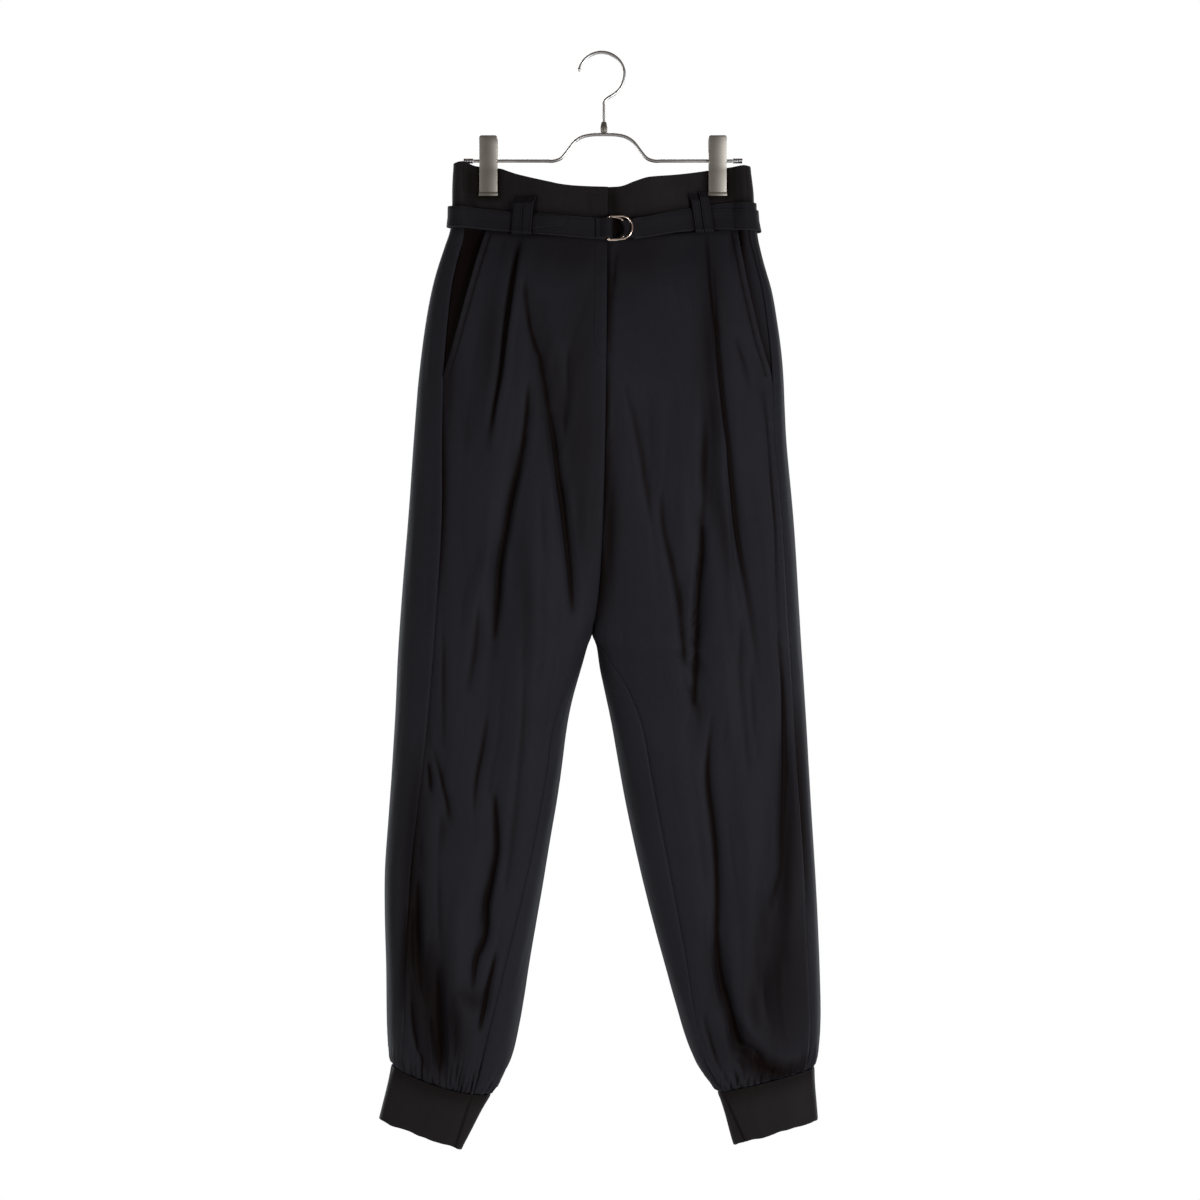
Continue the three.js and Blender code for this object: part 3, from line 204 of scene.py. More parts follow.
def border_sides(bm):
    """The four sides of an open sheet's border, as lists of vertices from corner to corner."""
    corners = {v for v in bm.verts if v.is_boundary and len(v.link_edges) <= 3}
    sides = []
    for corner in corners:
        for came in [e for e in corner.link_edges if e.is_boundary]:
            way, here = [corner], came.other_vert(corner)
            while here not in corners:
                way.append(here)
                came = next(e for e in here.link_edges if e.is_boundary and e is not came)
                here = came.other_vert(here)
            sides.append([*way, here])
    return sides


def walk(bm, first):
    """Rows of vertices from the first one on, each starting next to the start of the one before."""
    rows, done = [first], set(first)
    while len(done) < len(bm.verts):
        below = {e.other_vert(v) for v in rows[-1] for e in v.link_edges} - done
        rows.append(max(chains(list(below)), key=len))
        if not any(e.other_vert(rows[-1][0]) is rows[-2][0] for e in rows[-1][0].link_edges):
            rows[-1].reverse()
        done |= below
    return rows


def aligned(rows):
    """Closed rows, turned so that their columns run straight down."""
    done = rows[:1]
    for ring in rows[1:]:
        turned = [way[k:] + way[:k] for way in (ring, ring[::-1]) for k in range(len(ring))]
        done.append(min(turned, key=lambda way: sum((a.co - b.co).length_squared for a, b in zip(way, done[-1]))))
    return done


def sheet_rows(node, thick, closed=False, strip=False):
    """The outer sheet's rows from the top edge down, each from its outer end, and which way is outwards.

    A strip, such as a belt, is walked from one end to the other instead, and its stations become columns."""
    bm = outer_island(node, thick)

    def height(way):
        return sum(v.co.z for v in way) / len(way)

    if closed:
        rows = aligned(walk(bm, max(chains([v for v in bm.verts if v.is_boundary]), key=height)))
    elif strip:
        rows = walk(bm, min(border_sides(bm), key=lambda way: (len(way), height(way))))
    else:
        rows = walk(bm, max(border_sides(bm), key=height))
        if abs(rows[0][0].co.x) < abs(rows[0][-1].co.x):
            rows = [way[::-1] for way in rows]
    points = [np.array([v.co[:] for v in way]) for way in rows]
    across = points[0][1] - points[0][0]
    down = points[1][0] - points[0][0]
    turn = float(np.sign(np.dot(np.cross(across, down), np.array(rows[0][0].normal[:]))))
    bm.free()
    if strip:
        even = np.linspace(0, 1, STRIP_ROWS)
        points = np.array([read_along(even, np.linspace(0, 1, len(way)), way) for way in points]).transpose(1, 0, 2)
        turn = -turn
        if points[0, :, 2].mean() < points[-1, :, 2].mean():
            points, turn = points[::-1], -turn
    return list(points), turn


# %% [markdown]
# ## Finer cloth
#
# The rows are drawn through with smooth curves, first along each row and then down the columns, which gives a
# fine and even grid on the same form. Folds, seams and gathers are then heights on that grid, added along its
# normals, and a Solidify modifier gives the cloth its thickness. Each grid keeps its lengths along the rows
# and down the columns: the weave follows them, and so do seams and lines of stitches.

# %% Smooth grids
def smooth_curve(keys, values, wanted):
    """A smooth curve through values at keys, read at the wanted places."""
    keys, wanted = np.asarray(keys, float), np.clip(wanted, keys[0], keys[-1])
    slope = np.empty_like(values)
    gaps = (keys[2:] - keys[:-2]).reshape(-1, *[1] * (values.ndim - 1))
    slope[1:-1] = (values[2:] - values[:-2]) / gaps
    slope[0] = (values[1] - values[0]) / (keys[1] - keys[0])
    slope[-1] = (values[-1] - values[-2]) / (keys[-1] - keys[-2])
    i = np.clip(np.searchsorted(keys, wanted, side="right") - 1, 0, len(keys) - 2)
    span = keys[i + 1] - keys[i]
    t = ((wanted - keys[i]) / span).reshape(-1, *[1] * (values.ndim - 1))
    span = span.reshape(t.shape)
    first, second = values[i], values[i + 1]
    ease = t * t * (3 - 2 * t)
    bend = span * t * (1 - t)
    return first + (second - first) * ease + bend * (slope[i] * (1 - t) - slope[i + 1] * t)


def along(points, axis):
    """Lengths measured along a grid's rows or columns, from the first point."""
    steps = np.linalg.norm(np.diff(points, axis=axis), axis=2)
    start = np.zeros_like(np.take(steps, [0], axis=axis))
    return np.concatenate([start, np.cumsum(steps, axis=axis)], axis=axis)


def unit(ways):
    """The same directions, each of length 1."""
    return ways / np.linalg.norm(ways, axis=-1, keepdims=True)


class Grid:
    """A sheet of cloth as rows and columns of points, with its normals and its lengths both ways."""

    def __init__(self, rows, outward, per_column, step, closed=False):
        self.closed = closed
        steps = len(rows[0]) if closed else len(rows[0]) - 1
        share = np.arange(steps * per_column + (not closed)) / (steps * per_column)
        fine = []
        for row in rows:
            place = share * (len(row) if closed else len(row) - 1)
            if closed:  # a closed row runs on past its joint, so that the curve is smooth there too
                row, place = np.concatenate([row[-2:], row, row[:3]]), place + 2
            keys = along(row[None], 1)[0]
            i = np.minimum(place.astype(int), len(row) - 2)
            fine.append(smooth_curve(keys, row, keys[i] + (place - i) * (keys[i + 1] - keys[i])))
        fine = np.array(fine)
        drops = np.concatenate([[0], np.cumsum(np.linalg.norm(np.diff(fine, axis=0), axis=2).mean(axis=1))])
        counts = np.maximum(np.round(np.diff(drops) / step).astype(int), 1)
        wanted = np.concatenate([np.linspace(a, b, n, endpoint=False)
                                 for a, b, n in zip(drops, drops[1:], counts)] + [[drops[-1]]])
        self.points = smooth_curve(drops, fine, wanted)
        self.outward = outward
        self.measure()

    def measure(self):
        """Normals, and lengths along the rows and down the columns."""
        row = self.points
        if self.closed:
            row = np.concatenate([row[:, -1:], row, row[:, :1]], axis=1)
        across, down = np.gradient(row, axis=1), np.gradient(self.points, axis=0)
        across = across[:, 1:-1] if self.closed else across
        self.normals = unit(np.cross(across, down) * self.outward)
        self.across, self.down = along(self.points, 1), along(self.points, 0)

    def from_ends(self):
        """How far every point lies below the top edge, and above the bottom one."""
        return self.down, self.down[-1:] - self.down

    def from_sides(self):
        """How far every point lies from the first side edge, and from the last one."""
        return self.across, self.across[:, -1:] - self.across

    def ease_down(self, rows, weight):
        """Evens the form out along its columns, over some rows each way, where weight is 1."""
        p = self.points
        before, after = 2 * p[:1] - p[rows:0:-1], 2 * p[-1:] - p[-2:-rows - 2:-1]
        tall = np.concatenate([before, p, after])
        bell = np.hanning(2 * rows + 3)[1:-1]
        eased = sum(w * tall[k:k + len(p)] for k, w in enumerate(bell / bell.sum()))
        self.points = p + (eased - p) * weight[..., None]
        self.measure()
        return self

    def hollows(self, reach=7 * MM):
        """How deep each point lies below the cloth around it, along the rows, in metres."""
        offsets = np.linspace(-reach, reach, 9)
        mean = np.zeros_like(self.points)
        for j, (row, keys) in enumerate(zip(self.points, self.across)):
            for off in offsets:
                mean[j] += read_along(keys + off, keys, row) / len(offsets)
        return np.einsum("ijk,ijk->ij", mean - self.points, self.normals)

    def lift(self, height, even=4):
        """Moves the sheet along its normals, evened out over some columns so that steep folds don't cross."""
        if self.closed:
            wide = np.concatenate([self.normals[:, -even:], self.normals, self.normals[:, :even]], axis=1)
        else:
            wide = np.pad(self.normals, ((0, 0), (even, even), (0, 0)), mode="edge")
        ways = sum(wide[:, k:k + self.normals.shape[1]] for k in range(2 * even + 1))
        self.points = self.points + unit(ways) * np.asarray(height)[..., None]
        self.measure()
        return self

    def recut(self, start, end):
        """Cuts each row again, from start to end past its old width; there it runs on straight."""
        for row, keys, first, more in zip(self.points, self.across.copy(), start, end):
            wanted = first + (keys[-1] + more - first) * keys / keys[-1]
            past, fresh = wanted > keys[-1], read_along(wanted, keys, row)
            fresh[past] = row[-1] + unit(row[-1] - row[-3]) * (wanted[past] - keys[-1])[:, None]
            row[:] = fresh
        self.measure()
        return self

    def reach_out(self, column, lengths):
        """Draws a side edge out past itself by some lengths, so that it meets the next panel."""
        way = self.points[:, column] - self.points[:, 1 if column == 0 else -2]
        self.points[:, column] += unit(way) * np.asarray(lengths)[:, None]
        self.measure()
        return self


def read_grid(name, thick, per_column, step, closed=False, strip=False):
    """The fine grid of a node's outer sheet."""
    rows, outward = sheet_rows(name, thick, closed, strip)
    return Grid(rows, outward, per_column, step, closed)


def new_piece(name, mesh):
    """A piece of the scene from a mesh."""
    piece = bpy.data.objects.new(name, mesh)
    bpy.context.scene.collection.objects.link(piece)
    return piece


def grid_mesh(name, grid):
    """A mesh of quads from a grid, with a UV map in metres of cloth."""
    high, wide = grid.points.shape[:2]
    number = np.arange(high * wide).reshape(high, wide)
    laid = np.stack([grid.across, -grid.down], axis=2)
    if grid.closed:
        number = np.concatenate([number, number[:, :1]], axis=1)
        last = np.linalg.norm(grid.points[:, :1] - grid.points[:, -1:], axis=2)
        joint = np.stack([grid.across[:, -1:] + last, -grid.down[:, :1]], axis=2)
        laid = np.concatenate([laid, joint], axis=1)

    def corners(table):
        a, b, c, d = table[:-1, :-1], table[:-1, 1:], table[1:, 1:], table[1:, :-1]
        turned = [a, b, c, d] if grid.outward > 0 else [a, d, c, b]
        return np.stack(turned, axis=2)

    mesh = bpy.data.meshes.new(name)
    mesh.from_pydata(grid.points.reshape(-1, 3).tolist(), [], corners(number).reshape(-1, 4).tolist())
    mesh.uv_layers.new(name="cloth").data.foreach_set("uv", corners(laid).ravel())
    return new_piece(name, mesh)


def modified(piece, name, kind, **settings):
    """Gives a piece one modifier with its settings, and applies it."""
    own(piece)
    modifier = piece.modifiers.new(name, kind)
    for key, value in settings.items():
        setattr(modifier, key, value)
    bpy.ops.object.modifier_apply(modifier=modifier.name)


def break_edges(piece, wide, degrees):
    """Rounds the edges of a piece that are sharper than an angle."""
    modified(piece, "broken_edges", "BEVEL", width=wide, segments=2, limit_method="ANGLE",
             angle_limit=math.radians(degrees))


def thicken(piece, thick, rounded=0.0):
    """Gives a sheet its thickness on the inner side, and softens its rim."""
    modified(piece, "thickness", "SOLIDIFY", thickness=thick, offset=-1, use_even_offset=False)
    if rounded:
        break_edges(piece, rounded, 60)
    bpy.ops.object.shade_smooth()

# %% [markdown]
# ## The crepe
#
# The cloth is a heavy crepe with a satin back: nearly black with a blue cast where light grazes it, and not
# shiny. It is warm in its shadows, partly from the warm light of the room and partly from painted shade, a warm
# near-black mixed into its colour from a value that each piece stores. Its yarns are far finer than the folds,
# so they are bump and not shape. One node group makes the weave from the cloth's own lengths: twisted yarns both
# ways, broken by slubs. It also gives a tone that drifts over a hand's width, as piece-dyed cloth does. A second
# group finds the pressed edges, where the nap is worn a little lighter, from a value that each piece stores on
# its points.

# %% Node groups for cloth
YARNS = 1900.0  # in a metre of cloth


def new_group(name, inputs, outputs):
    """A shader node group with named inputs and outputs; returns it with its two end nodes."""
    group = bpy.data.node_groups.new(name, "ShaderNodeTree")
    for label, kind, value in inputs:
        socket = group.interface.new_socket(label, in_out="INPUT", socket_type=kind)
        if value is not None:
            socket.default_value = value
    for label, kind in outputs:
        group.interface.new_socket(label, in_out="OUTPUT", socket_type=kind)
    return group, group.nodes.new("NodeGroupInput"), group.nodes.new("NodeGroupOutput")


def node(tree, kind, ins=None, **settings):
    """A node with its settings; ins are its inputs, as plain values or as other nodes' outputs."""
    made = tree.nodes.new(kind)
    for key, value in settings.items():
        setattr(made, key, value)
    for key, value in (ins or {}).items():
        if isinstance(value, bpy.types.NodeSocket):
            tree.links.new(value, made.inputs[key])
        else:
            made.inputs[key].default_value = value
    return made


def mixed(tree, first, second, factor):
    """A mix of two colours by a factor that varies; the first may be another node's output."""
    first = (*first, 1) if isinstance(first, tuple) else first
    return node(tree, "ShaderNodeMix", {"A": first, "B": (*second, 1), "Factor": factor},
                data_type="RGBA").outputs["Result"]


def raise_from(tree, body, height, strength, distance):
    """Gives a shader a fine relief from a height that varies."""
    bump = node(tree, "ShaderNodeBump", {"Height": height, "Strength": strength, "Distance": distance})
    tree.links.new(bump.outputs["Normal"], body.inputs["Normal"])


def make_weave():
    """Relief and tone of a crepe, from its own lengths."""
    group, given, put = new_group(
        "crepe_weave",
        [("Lengths", "NodeSocketVector", None), ("Yarns per metre", "NodeSocketFloat", YARNS)],
        [("Height", "NodeSocketFloat"), ("Tone", "NodeSocketFloat")],
    )
    lengths = given.outputs["Lengths"]
    scaled = node(group, "ShaderNodeVectorMath", {0: lengths, "Scale": given.outputs["Yarns per metre"]},
                  operation="SCALE").outputs[0]
    wander = node(group, "ShaderNodeTexNoise", {"Vector": scaled, "Scale": 0.11, "Detail": 2.0})
    moved = node(group, "ShaderNodeVectorMath", {0: wander.outputs["Color"], 1: (2.6, 2.6, 0), 2: scaled},
                 operation="MULTIPLY_ADD").outputs[0]
    warp, weft = (
        node(group, "ShaderNodeTexWave", {"Vector": moved, "Scale": scale, "Distortion": distortion},
             wave_type="BANDS", bands_direction=way).outputs["Fac"]
        for way, scale, distortion in (("X", 0.31, 0.6), ("Y", 0.25, 0.9))
    )
    yarns = node(group, "ShaderNodeMath", {0: warp, 1: weft}, operation="MULTIPLY")
    stretch = node(group, "ShaderNodeVectorMath", {0: scaled, 1: (0.5, 0.035, 1)}, operation="MULTIPLY")
    slubs = node(group, "ShaderNodeTexNoise",
                 {"Vector": stretch.outputs[0], "Scale": 1.0, "Detail": 3.0, "Roughness": 0.6}).outputs["Fac"]
    height = node(group, "ShaderNodeMath", {0: yarns.outputs[0], 1: 0.55, 2: slubs}, operation="MULTIPLY_ADD")
    drift = node(group, "ShaderNodeTexNoise", {"Vector": lengths, "Scale": 16.0, "Detail": 4.0, "Roughness": 0.55})
    both = node(group, "ShaderNodeMix", {"Factor": 0.45, "A": drift.outputs["Fac"], "B": slubs}, data_type="FLOAT")
    group.links.new(height.outputs[0], put.inputs["Height"])
    group.links.new(both.outputs["Result"], put.inputs["Tone"])
    return group


def make_edge_wear():
    """Broken wear where a piece's points say that an edge is pressed."""
    group, given, put = new_group(
        "edge_wear",
        [("Edge", "NodeSocketFloat", 0.0), ("Place", "NodeSocketVector", None)],
        [("Worn", "NodeSocketFloat")],
    )
    broken = node(group, "ShaderNodeTexNoise",
                  {"Vector": given.outputs["Place"], "Scale": 420.0, "Detail": 3.0, "Roughness": 0.7})
    worn = node(group, "ShaderNodeMath", {0: given.outputs["Edge"], 1: broken.outputs["Fac"]}, operation="MULTIPLY")
    group.links.new(worn.outputs[0], put.inputs["Worn"])
    return group


weave_group, wear_group = make_weave(), make_edge_wear()

# the first tone lightens worn edges; the second is painted shade, a warm near-black mixed into the cloth's colour
# wherever a piece stores shade
WORN_TONE, PAINTED_SHADE_TONE = (0.017, 0.016, 0.017), (0.0028, 0.0009, 0.0006)


def crepe(name, deep, light, bump=0.35, rough=0.62, sheen=0.035):
    """A cloth finish between two tones, with the weave's relief, worn edges and painted shade."""
    made, tree, cloth = new_finish(name, {
        "Roughness": rough, "Specular IOR Level": 0.04, "Sheen Weight": sheen, "Sheen Roughness": 0.32,
        "Sheen Tint": (0.60, 0.64, 0.86, 1),
    })
    lengths = node(tree, "ShaderNodeUVMap", uv_map="cloth").outputs["UV"]
    place = node(tree, "ShaderNodeTexCoord").outputs["Object"]
    edge, painted_shade = (node(tree, "ShaderNodeAttribute", attribute_name=stored).outputs["Fac"]
                    for stored in ("edge", "painted_shade"))
    weave = node(tree, "ShaderNodeGroup", {"Lengths": lengths, "Yarns per metre": YARNS}, node_tree=weave_group)
    wear = node(tree, "ShaderNodeGroup", {"Edge": edge, "Place": place}, node_tree=wear_group)
    tone = mixed(tree, deep, light, weave.outputs["Tone"])
    tone = mixed(tree, tone, WORN_TONE, wear.outputs["Worn"])
    # painted shade: the stored shade mixes the colour towards a warm near-black
    tone = mixed(tree, tone, PAINTED_SHADE_TONE, painted_shade)
    tree.links.new(tone, cloth.inputs["Base Color"])
    raise_from(tree, cloth, weave.outputs["Height"], bump, 0.00025)
    return made


PANEL_CREPE = crepe("panel_crepe", deep=(0.0092, 0.0084, 0.0102), light=(0.0150, 0.0146, 0.0180))
# the band's crepe, also on the cuffs, is set darker and warmer than the panels', partly as painted shade where the
# band turns from the key light
BAND_CREPE = crepe("band_crepe", deep=(0.0074, 0.0062, 0.0064), light=(0.0136, 0.0118, 0.0120), rough=0.58)
BELT_CREPE = crepe("belt_crepe", deep=(0.0068, 0.0060, 0.0068), light=(0.0116, 0.0106, 0.0120))
# a darker, warmer copy of the crepe without sheen: painted shade for cloth deep inside the openings
SHADED_FACING_CREPE = crepe("shaded_facing_crepe", deep=(0.0040, 0.0020, 0.0016), light=(0.0080, 0.0056, 0.0052), sheen=0)
print("cloth finishes:", [m.name for m in bpy.data.materials if m.name.endswith("crepe")])

# %% [markdown]
# ## Folds of the two legs
#
# The hanger pinches the waist flat at two places, so the cloth between and below hangs in long soft folds,
# and above the tight cuffs it is pushed into short deep ones. The solids carry the largest. The finer ones
# are listed here in millimetres. Each row of a table is a path of places, measured outwards from the
# hook's line and down from the hook, then its width on the inner and on the outer side, and its depth, which
# is negative for a trough. A fold of hung cloth is steep on one side: on the narrower one, a low crest
# stands beside the trough. The back has similar folds, since it hangs from the same two clips.

# %% Tables of folds
RIGHT_FRONT = [  # path of (out, drop) places, inner width, outer width, depth
    (((84, 192), (91, 228), (97, 268), (102, 322), (108, 352), (120, 408)), 2.2, 7.0, -1.9),
    (((101, 262), (107, 320), (112, 360), (118, 412)), 4.5, 8.0, 2.4),
    (((77, 234), (72, 276), (62, 309), (54, 354), (47, 392)), 3.0, 4.5, -2.6),
    (((52, 362), (47, 392), (43, 426), (37.5, 462), (33, 509), (30, 556)), 3.0, 5.0, -5.0),
    (((33, 300), (35, 345), (42, 396)), 3.0, 7.0, -2.4),
    (((73, 328), (76, 366), (80, 396)), 2.4, 4.0, -2.0),
    (((78, 384), (84.5, 420), (92, 451), (97, 481), (102, 512), (104, 538), (107, 580)), 3.2, 5.0, -4.4),
    (((112, 492), (123, 534), (131, 575)), 7.0, 6.0, 2.2),
    (((142, 322), (138, 390)), 8.0, 8.0, -1.4),
    (((120, 268), (126, 330), (132, 392)), 7.0, 9.0, -1.3),
    (((62, 400), (58, 520), (62, 640)), 7.0, 6.0, -1.3),
    (((123, 540), (126, 593), (133, 632)), 4.0, 6.0, -1.9),
    (((78, 540), (78, 640), (81, 702), (89, 780), (96, 830)), 6.0, 5.0, -1.8),
    (((176, 556), (173, 608), (176, 650)), 4.0, 6.0, -1.8),
    (((158.5, 566), (158, 655), (157, 690)), 2.6, 3.0, -1.5),
    (((181, 668), (178, 690), (175.5, 706), (170, 734)), 2.4, 4.2, -3.8),
    (((170, 690), (166.5, 702), (156, 740), (150, 768)), 2.0, 2.6, -1.8),
    (((173, 640), (172, 668), (168, 690)), 3.0, 3.0, 1.6),
    (((115, 664), (119, 690), (125, 722), (128, 752)), 3.0, 5.0, -2.0),
    (((107, 742), (105.5, 790), (110, 820), (115, 845), (117, 878), (125, 902), (128, 928)), 3.2, 4.6, -4.2),
    (((162, 812), (162, 890)), 4.0, 4.0, -1.6),
    (((190, 742), (184, 790), (180, 822)), 6.0, 8.0, -2.4),
    (((187, 824), (187, 860), (183, 912), (177, 958)), 5.0, 5.0, -5.0),
    (((196, 904), (191, 950), (184, 990), (175, 1016)), 4.0, 4.4, -4.4),
    (((203, 830), (204, 884), (200, 930)), 3.0, 3.0, -1.8),
    (((166, 905), (164, 958), (162, 996), (159, 1026)), 6.5, 6.0, -5.4),
    (((147, 955), (148, 985), (150, 1016)), 3.5, 3.5, -2.2),
    (((106, 897), (113.5, 930), (117, 950), (122, 972)), 2.6, 3.6, -3.6),
    (((135, 925), (132, 968), (138, 1008)), 6.0, 6.0, -1.6),
    (((144, 836), (146, 880), (148, 925)), 9.0, 8.0, 2.2),
    (((173, 960), (170, 990), (168, 1014)), 3.0, 3.0, 2.6),
    (((146, 1000), (144, 1030)), 1.8, 2.2, -1.8),
    (((140, 1006), (139, 1030)), 1.8, 2.2, -1.5),
]
LEFT_FRONT = [
    (((102, 186), (105, 222), (108, 252), (112.5, 294), (118, 353), (122, 398), (124.5, 434)), 2.4, 3.4, -2.0),
    (((108.5, 190), (111, 222), (114, 256), (118, 296)), 2.4, 5.0, 2.2),
    (((14, 182), (12.5, 206), (9.5, 236), (6.5, 266), (3.5, 302)), 1.6, 2.6, -1.6),
    (((123, 410), (125, 438), (129, 475), (131.5, 506), (135, 552)), 3.3, 7.0, -3.0),
    (((105, 286), (108, 330), (108, 400), (107, 468)), 7.5, 7.0, -2.2),
    (((99.5, 318), (100.5, 386), (99, 420), (99.5, 453), (98, 482)), 2.0, 5.0, -1.8),
    (((98, 476), (97.5, 496), (94, 530), (92, 576), (91, 625), (90, 646)), 2.6, 4.0, -4.6),
    (((56, 446), (60, 478), (67.5, 509), (75, 546), (80, 590), (84, 632)), 3.0, 6.0, -2.8),
    (((22, 336), (31, 370), (38, 406), (43, 436), (53, 492)), 3.0, 6.0, -1.7),
    (((64, 380), (66, 460)), 7.0, 7.0, -1.0),
    (((131, 280), (138, 306), (146, 336)), 3.0, 5.0, -1.4),
    (((154, 326), (161, 353), (166, 387), (168, 426), (172, 481), (173, 540), (175, 590)), 2.6, 9.0, -1.9),
    (((174, 584), (178.5, 626), (180, 672), (180, 722), (178.5, 772), (176, 816), (168, 846)), 2.8, 8.0, -4.0),
    (((176, 836), (174, 880), (172, 930)), 13.0, 12.0, -3.0),
    (((160, 900), (161, 940), (166, 975)), 6.0, 5.0, -2.4),
    (((176, 905), (178, 950), (184, 990)), 4.0, 6.0, 1.8),
    (((138, 556), (136, 610), (140, 664), (144, 712)), 4.0, 4.0, -1.5),
    (((118, 560), (122, 640), (130, 700)), 6.0, 6.0, 1.4),
    (((146, 606), (148, 650), (152, 700)), 5.0, 5.0, -1.3),
    (((107, 662), (103.5, 721), (108, 766), (111, 797), (112.5, 846), (112.5, 892)), 3.0, 5.0, -2.6),
    (((112.5, 884), (114, 908), (118, 930), (125, 954), (129, 974)), 3.4, 5.0, -4.2),
    (((127, 960), (131, 980), (136, 989), (148, 993), (156, 1002), (161, 1013)), 4.4, 5.0, -5.6),
    (((158, 1010), (170, 1018), (182, 1020), (196, 1017)), 2.6, 2.6, -3.2),
    (((138, 958), (146, 974), (158, 982)), 4.0, 4.0, 2.4),
    (((120, 985), (126, 1004), (140, 1014)), 4.0, 4.0, 2.0),
    (((100, 960), (108, 990), (116, 1014)), 3.0, 3.0, -2.0),
    (((72, 866), (75, 906), (81, 946), (92, 984)), 2.0, 4.0, -1.8),
    (((186, 1000), (187, 1016)), 1.6, 1.8, -1.6),
    (((193, 998), (194, 1014)), 1.6, 1.8, -1.6),
    (((200, 996), (201, 1012)), 1.6, 1.8, -1.6),
    (((206, 994), (207, 1010)), 1.6, 1.8, -1.4),
]
RIGHT_BACK = [
    (((70, 206), (66, 270), (56, 350), (46, 440)), 3.0, 7.0, -3.8),
    (((96, 230), (104, 330), (118, 430), (122, 520)), 7.0, 3.0, -3.2),
    (((36, 330), (44, 420), (60, 520), (66, 600)), 4.0, 7.0, -2.6),
    (((140, 360), (150, 470), (156, 600)), 6.0, 5.0, -2.0),
    (((128, 220), (134, 280), (140, 350)), 5.0, 6.0, -1.8),
    (((84, 520), (82, 600), (90, 700), (97, 790)), 3.0, 6.0, -3.4),
    (((132, 590), (128, 680), (120, 760), (117, 830)), 5.0, 3.0, -3.0),
    (((176, 680), (172, 740), (160, 800), (152, 860)), 3.0, 6.0, -3.4),
    (((100, 800), (108, 860), (120, 930), (126, 985)), 3.0, 4.5, -3.6),
    (((190, 850), (186, 910), (176, 970), (166, 1018)), 3.6, 5.0, -4.4),
    (((144, 900), (146, 950), (150, 1022)), 4.6, 5.0, -4.0),
    (((130, 940), (133, 1012)), 3.0, 3.0, -2.4),
    (((164, 900), (160, 960)), 6.0, 6.0, 1.8),
]
LEFT_BACK = [
    (((66, 204), (62, 260), (50, 330), (40, 420)), 3.0, 7.0, -3.8),
    (((104, 230), (112, 320), (124, 400), (130, 490)), 7.0, 3.0, -3.4),
    (((44, 350), (54, 440), (70, 540), (76, 620)), 4.0, 6.0, -2.6),
    (((150, 340), (157, 440), (160, 580)), 6.0, 5.0, -2.0),
    (((136, 220), (140, 270), (146, 340)), 5.0, 6.0, -1.8),
    (((92, 540), (92, 620), (102, 720), (110, 810)), 3.0, 6.0, -3.4),
    (((150, 600), (146, 690), (138, 760), (134, 830)), 5.0, 3.0, -2.8),
    (((186, 650), (182, 720), (170, 800), (160, 860)), 3.0, 6.0, -3.2),
    (((96, 810), (104, 870), (112, 940), (118, 990)), 3.0, 4.5, -3.4),
    (((180, 860), (178, 920), (172, 980), (168, 1018)), 3.6, 5.0, -4.2),
    (((136, 900), (140, 960), (146, 1018)), 4.0, 5.0, -3.6),
    (((156, 930), (158, 1012)), 3.0, 3.0, -2.4),
    (((192, 940), (190, 1004)), 3.0, 3.0, -2.0),
]


FINEST_FOLD, FOLD_REACH = 3.3, 40  # millimetres: no fold is narrower than the grids can show, or felt further off


def smooth_path(places, count=40):
    """Even places on a smooth curve through a fold's given ones, and the way it heads at each."""
    places = np.array(places, float)
    keys = along(places[None], 1)[0]
    if len(places) > 2:
        way = smooth_curve(keys, places, np.linspace(0, keys[-1], count))
    else:
        way = np.linspace(*places, count)
    return way, unit(np.gradient(way, axis=0))


def fold_heights(folds, points):
    """The height that a table of folds gives at each point of a grid, in metres."""
    flat = np.stack([np.abs(points[..., 0]) / MM, -points[..., 2] / MM], axis=-1).reshape(-1, 2)
    height = np.zeros(len(flat))
    for places, inner, outer, deep in folds:
        way, ahead = smooth_path(places)
        low, high = way.min(axis=0) - FOLD_REACH, way.max(axis=0) + FOLD_REACH
        close = np.flatnonzero(np.all((flat > low) & (flat < high), axis=1))
        if not len(close):
            continue
        off = flat[close, None] - way[None]
        which = np.argmin((off ** 2).sum(axis=2), axis=1)
        off = off[np.arange(len(close)), which]
        side = off[:, 0] * ahead[which, 1] - off[:, 1] * ahead[which, 0]
        onward = (off * ahead[which]).sum(axis=1)
        last = len(way) - 1
        past = np.where(which == 0, np.minimum(onward, 0), np.where(which == last, np.maximum(onward, 0), 0))
        away = np.hypot(side, past)
        wide = np.maximum(np.where(side < 0, inner, outer), FINEST_FOLD)
        span = np.linalg.norm(way[-1] - way[-2])
        share = np.clip((which + onward / span) / last, 0, 1)
        strength = np.sin(math.pi * np.clip(0.04 + 0.92 * share, 0, 1)) ** 0.6
        shape = np.exp(-((away / wide) ** 2))
        narrow, sign = (inner, -1) if inner < outer else (outer, 1)
        if inner != outer and deep < 0:
            crest = max(narrow, FINEST_FOLD)
            shape -= 0.28 * np.exp(-(((side * sign - 2.3 * crest) / (1.3 * crest)) ** 2)) * (away < 8 * crest)
        height[close] += deep * strength * shape
    return height.reshape(points.shape[:2]) * MM

# %% [markdown]
# ## Where things lie on the cloth
#
# The belt, its loops and the clips lie close on the cloth, and little light gets in beside them. Their
# surfaces are read once as places, and each point of the cloth gets painted shade by how near it is to them.
# The finish mixes that shade into the colour, so a soft brown-black painted shadow follows every belt edge.

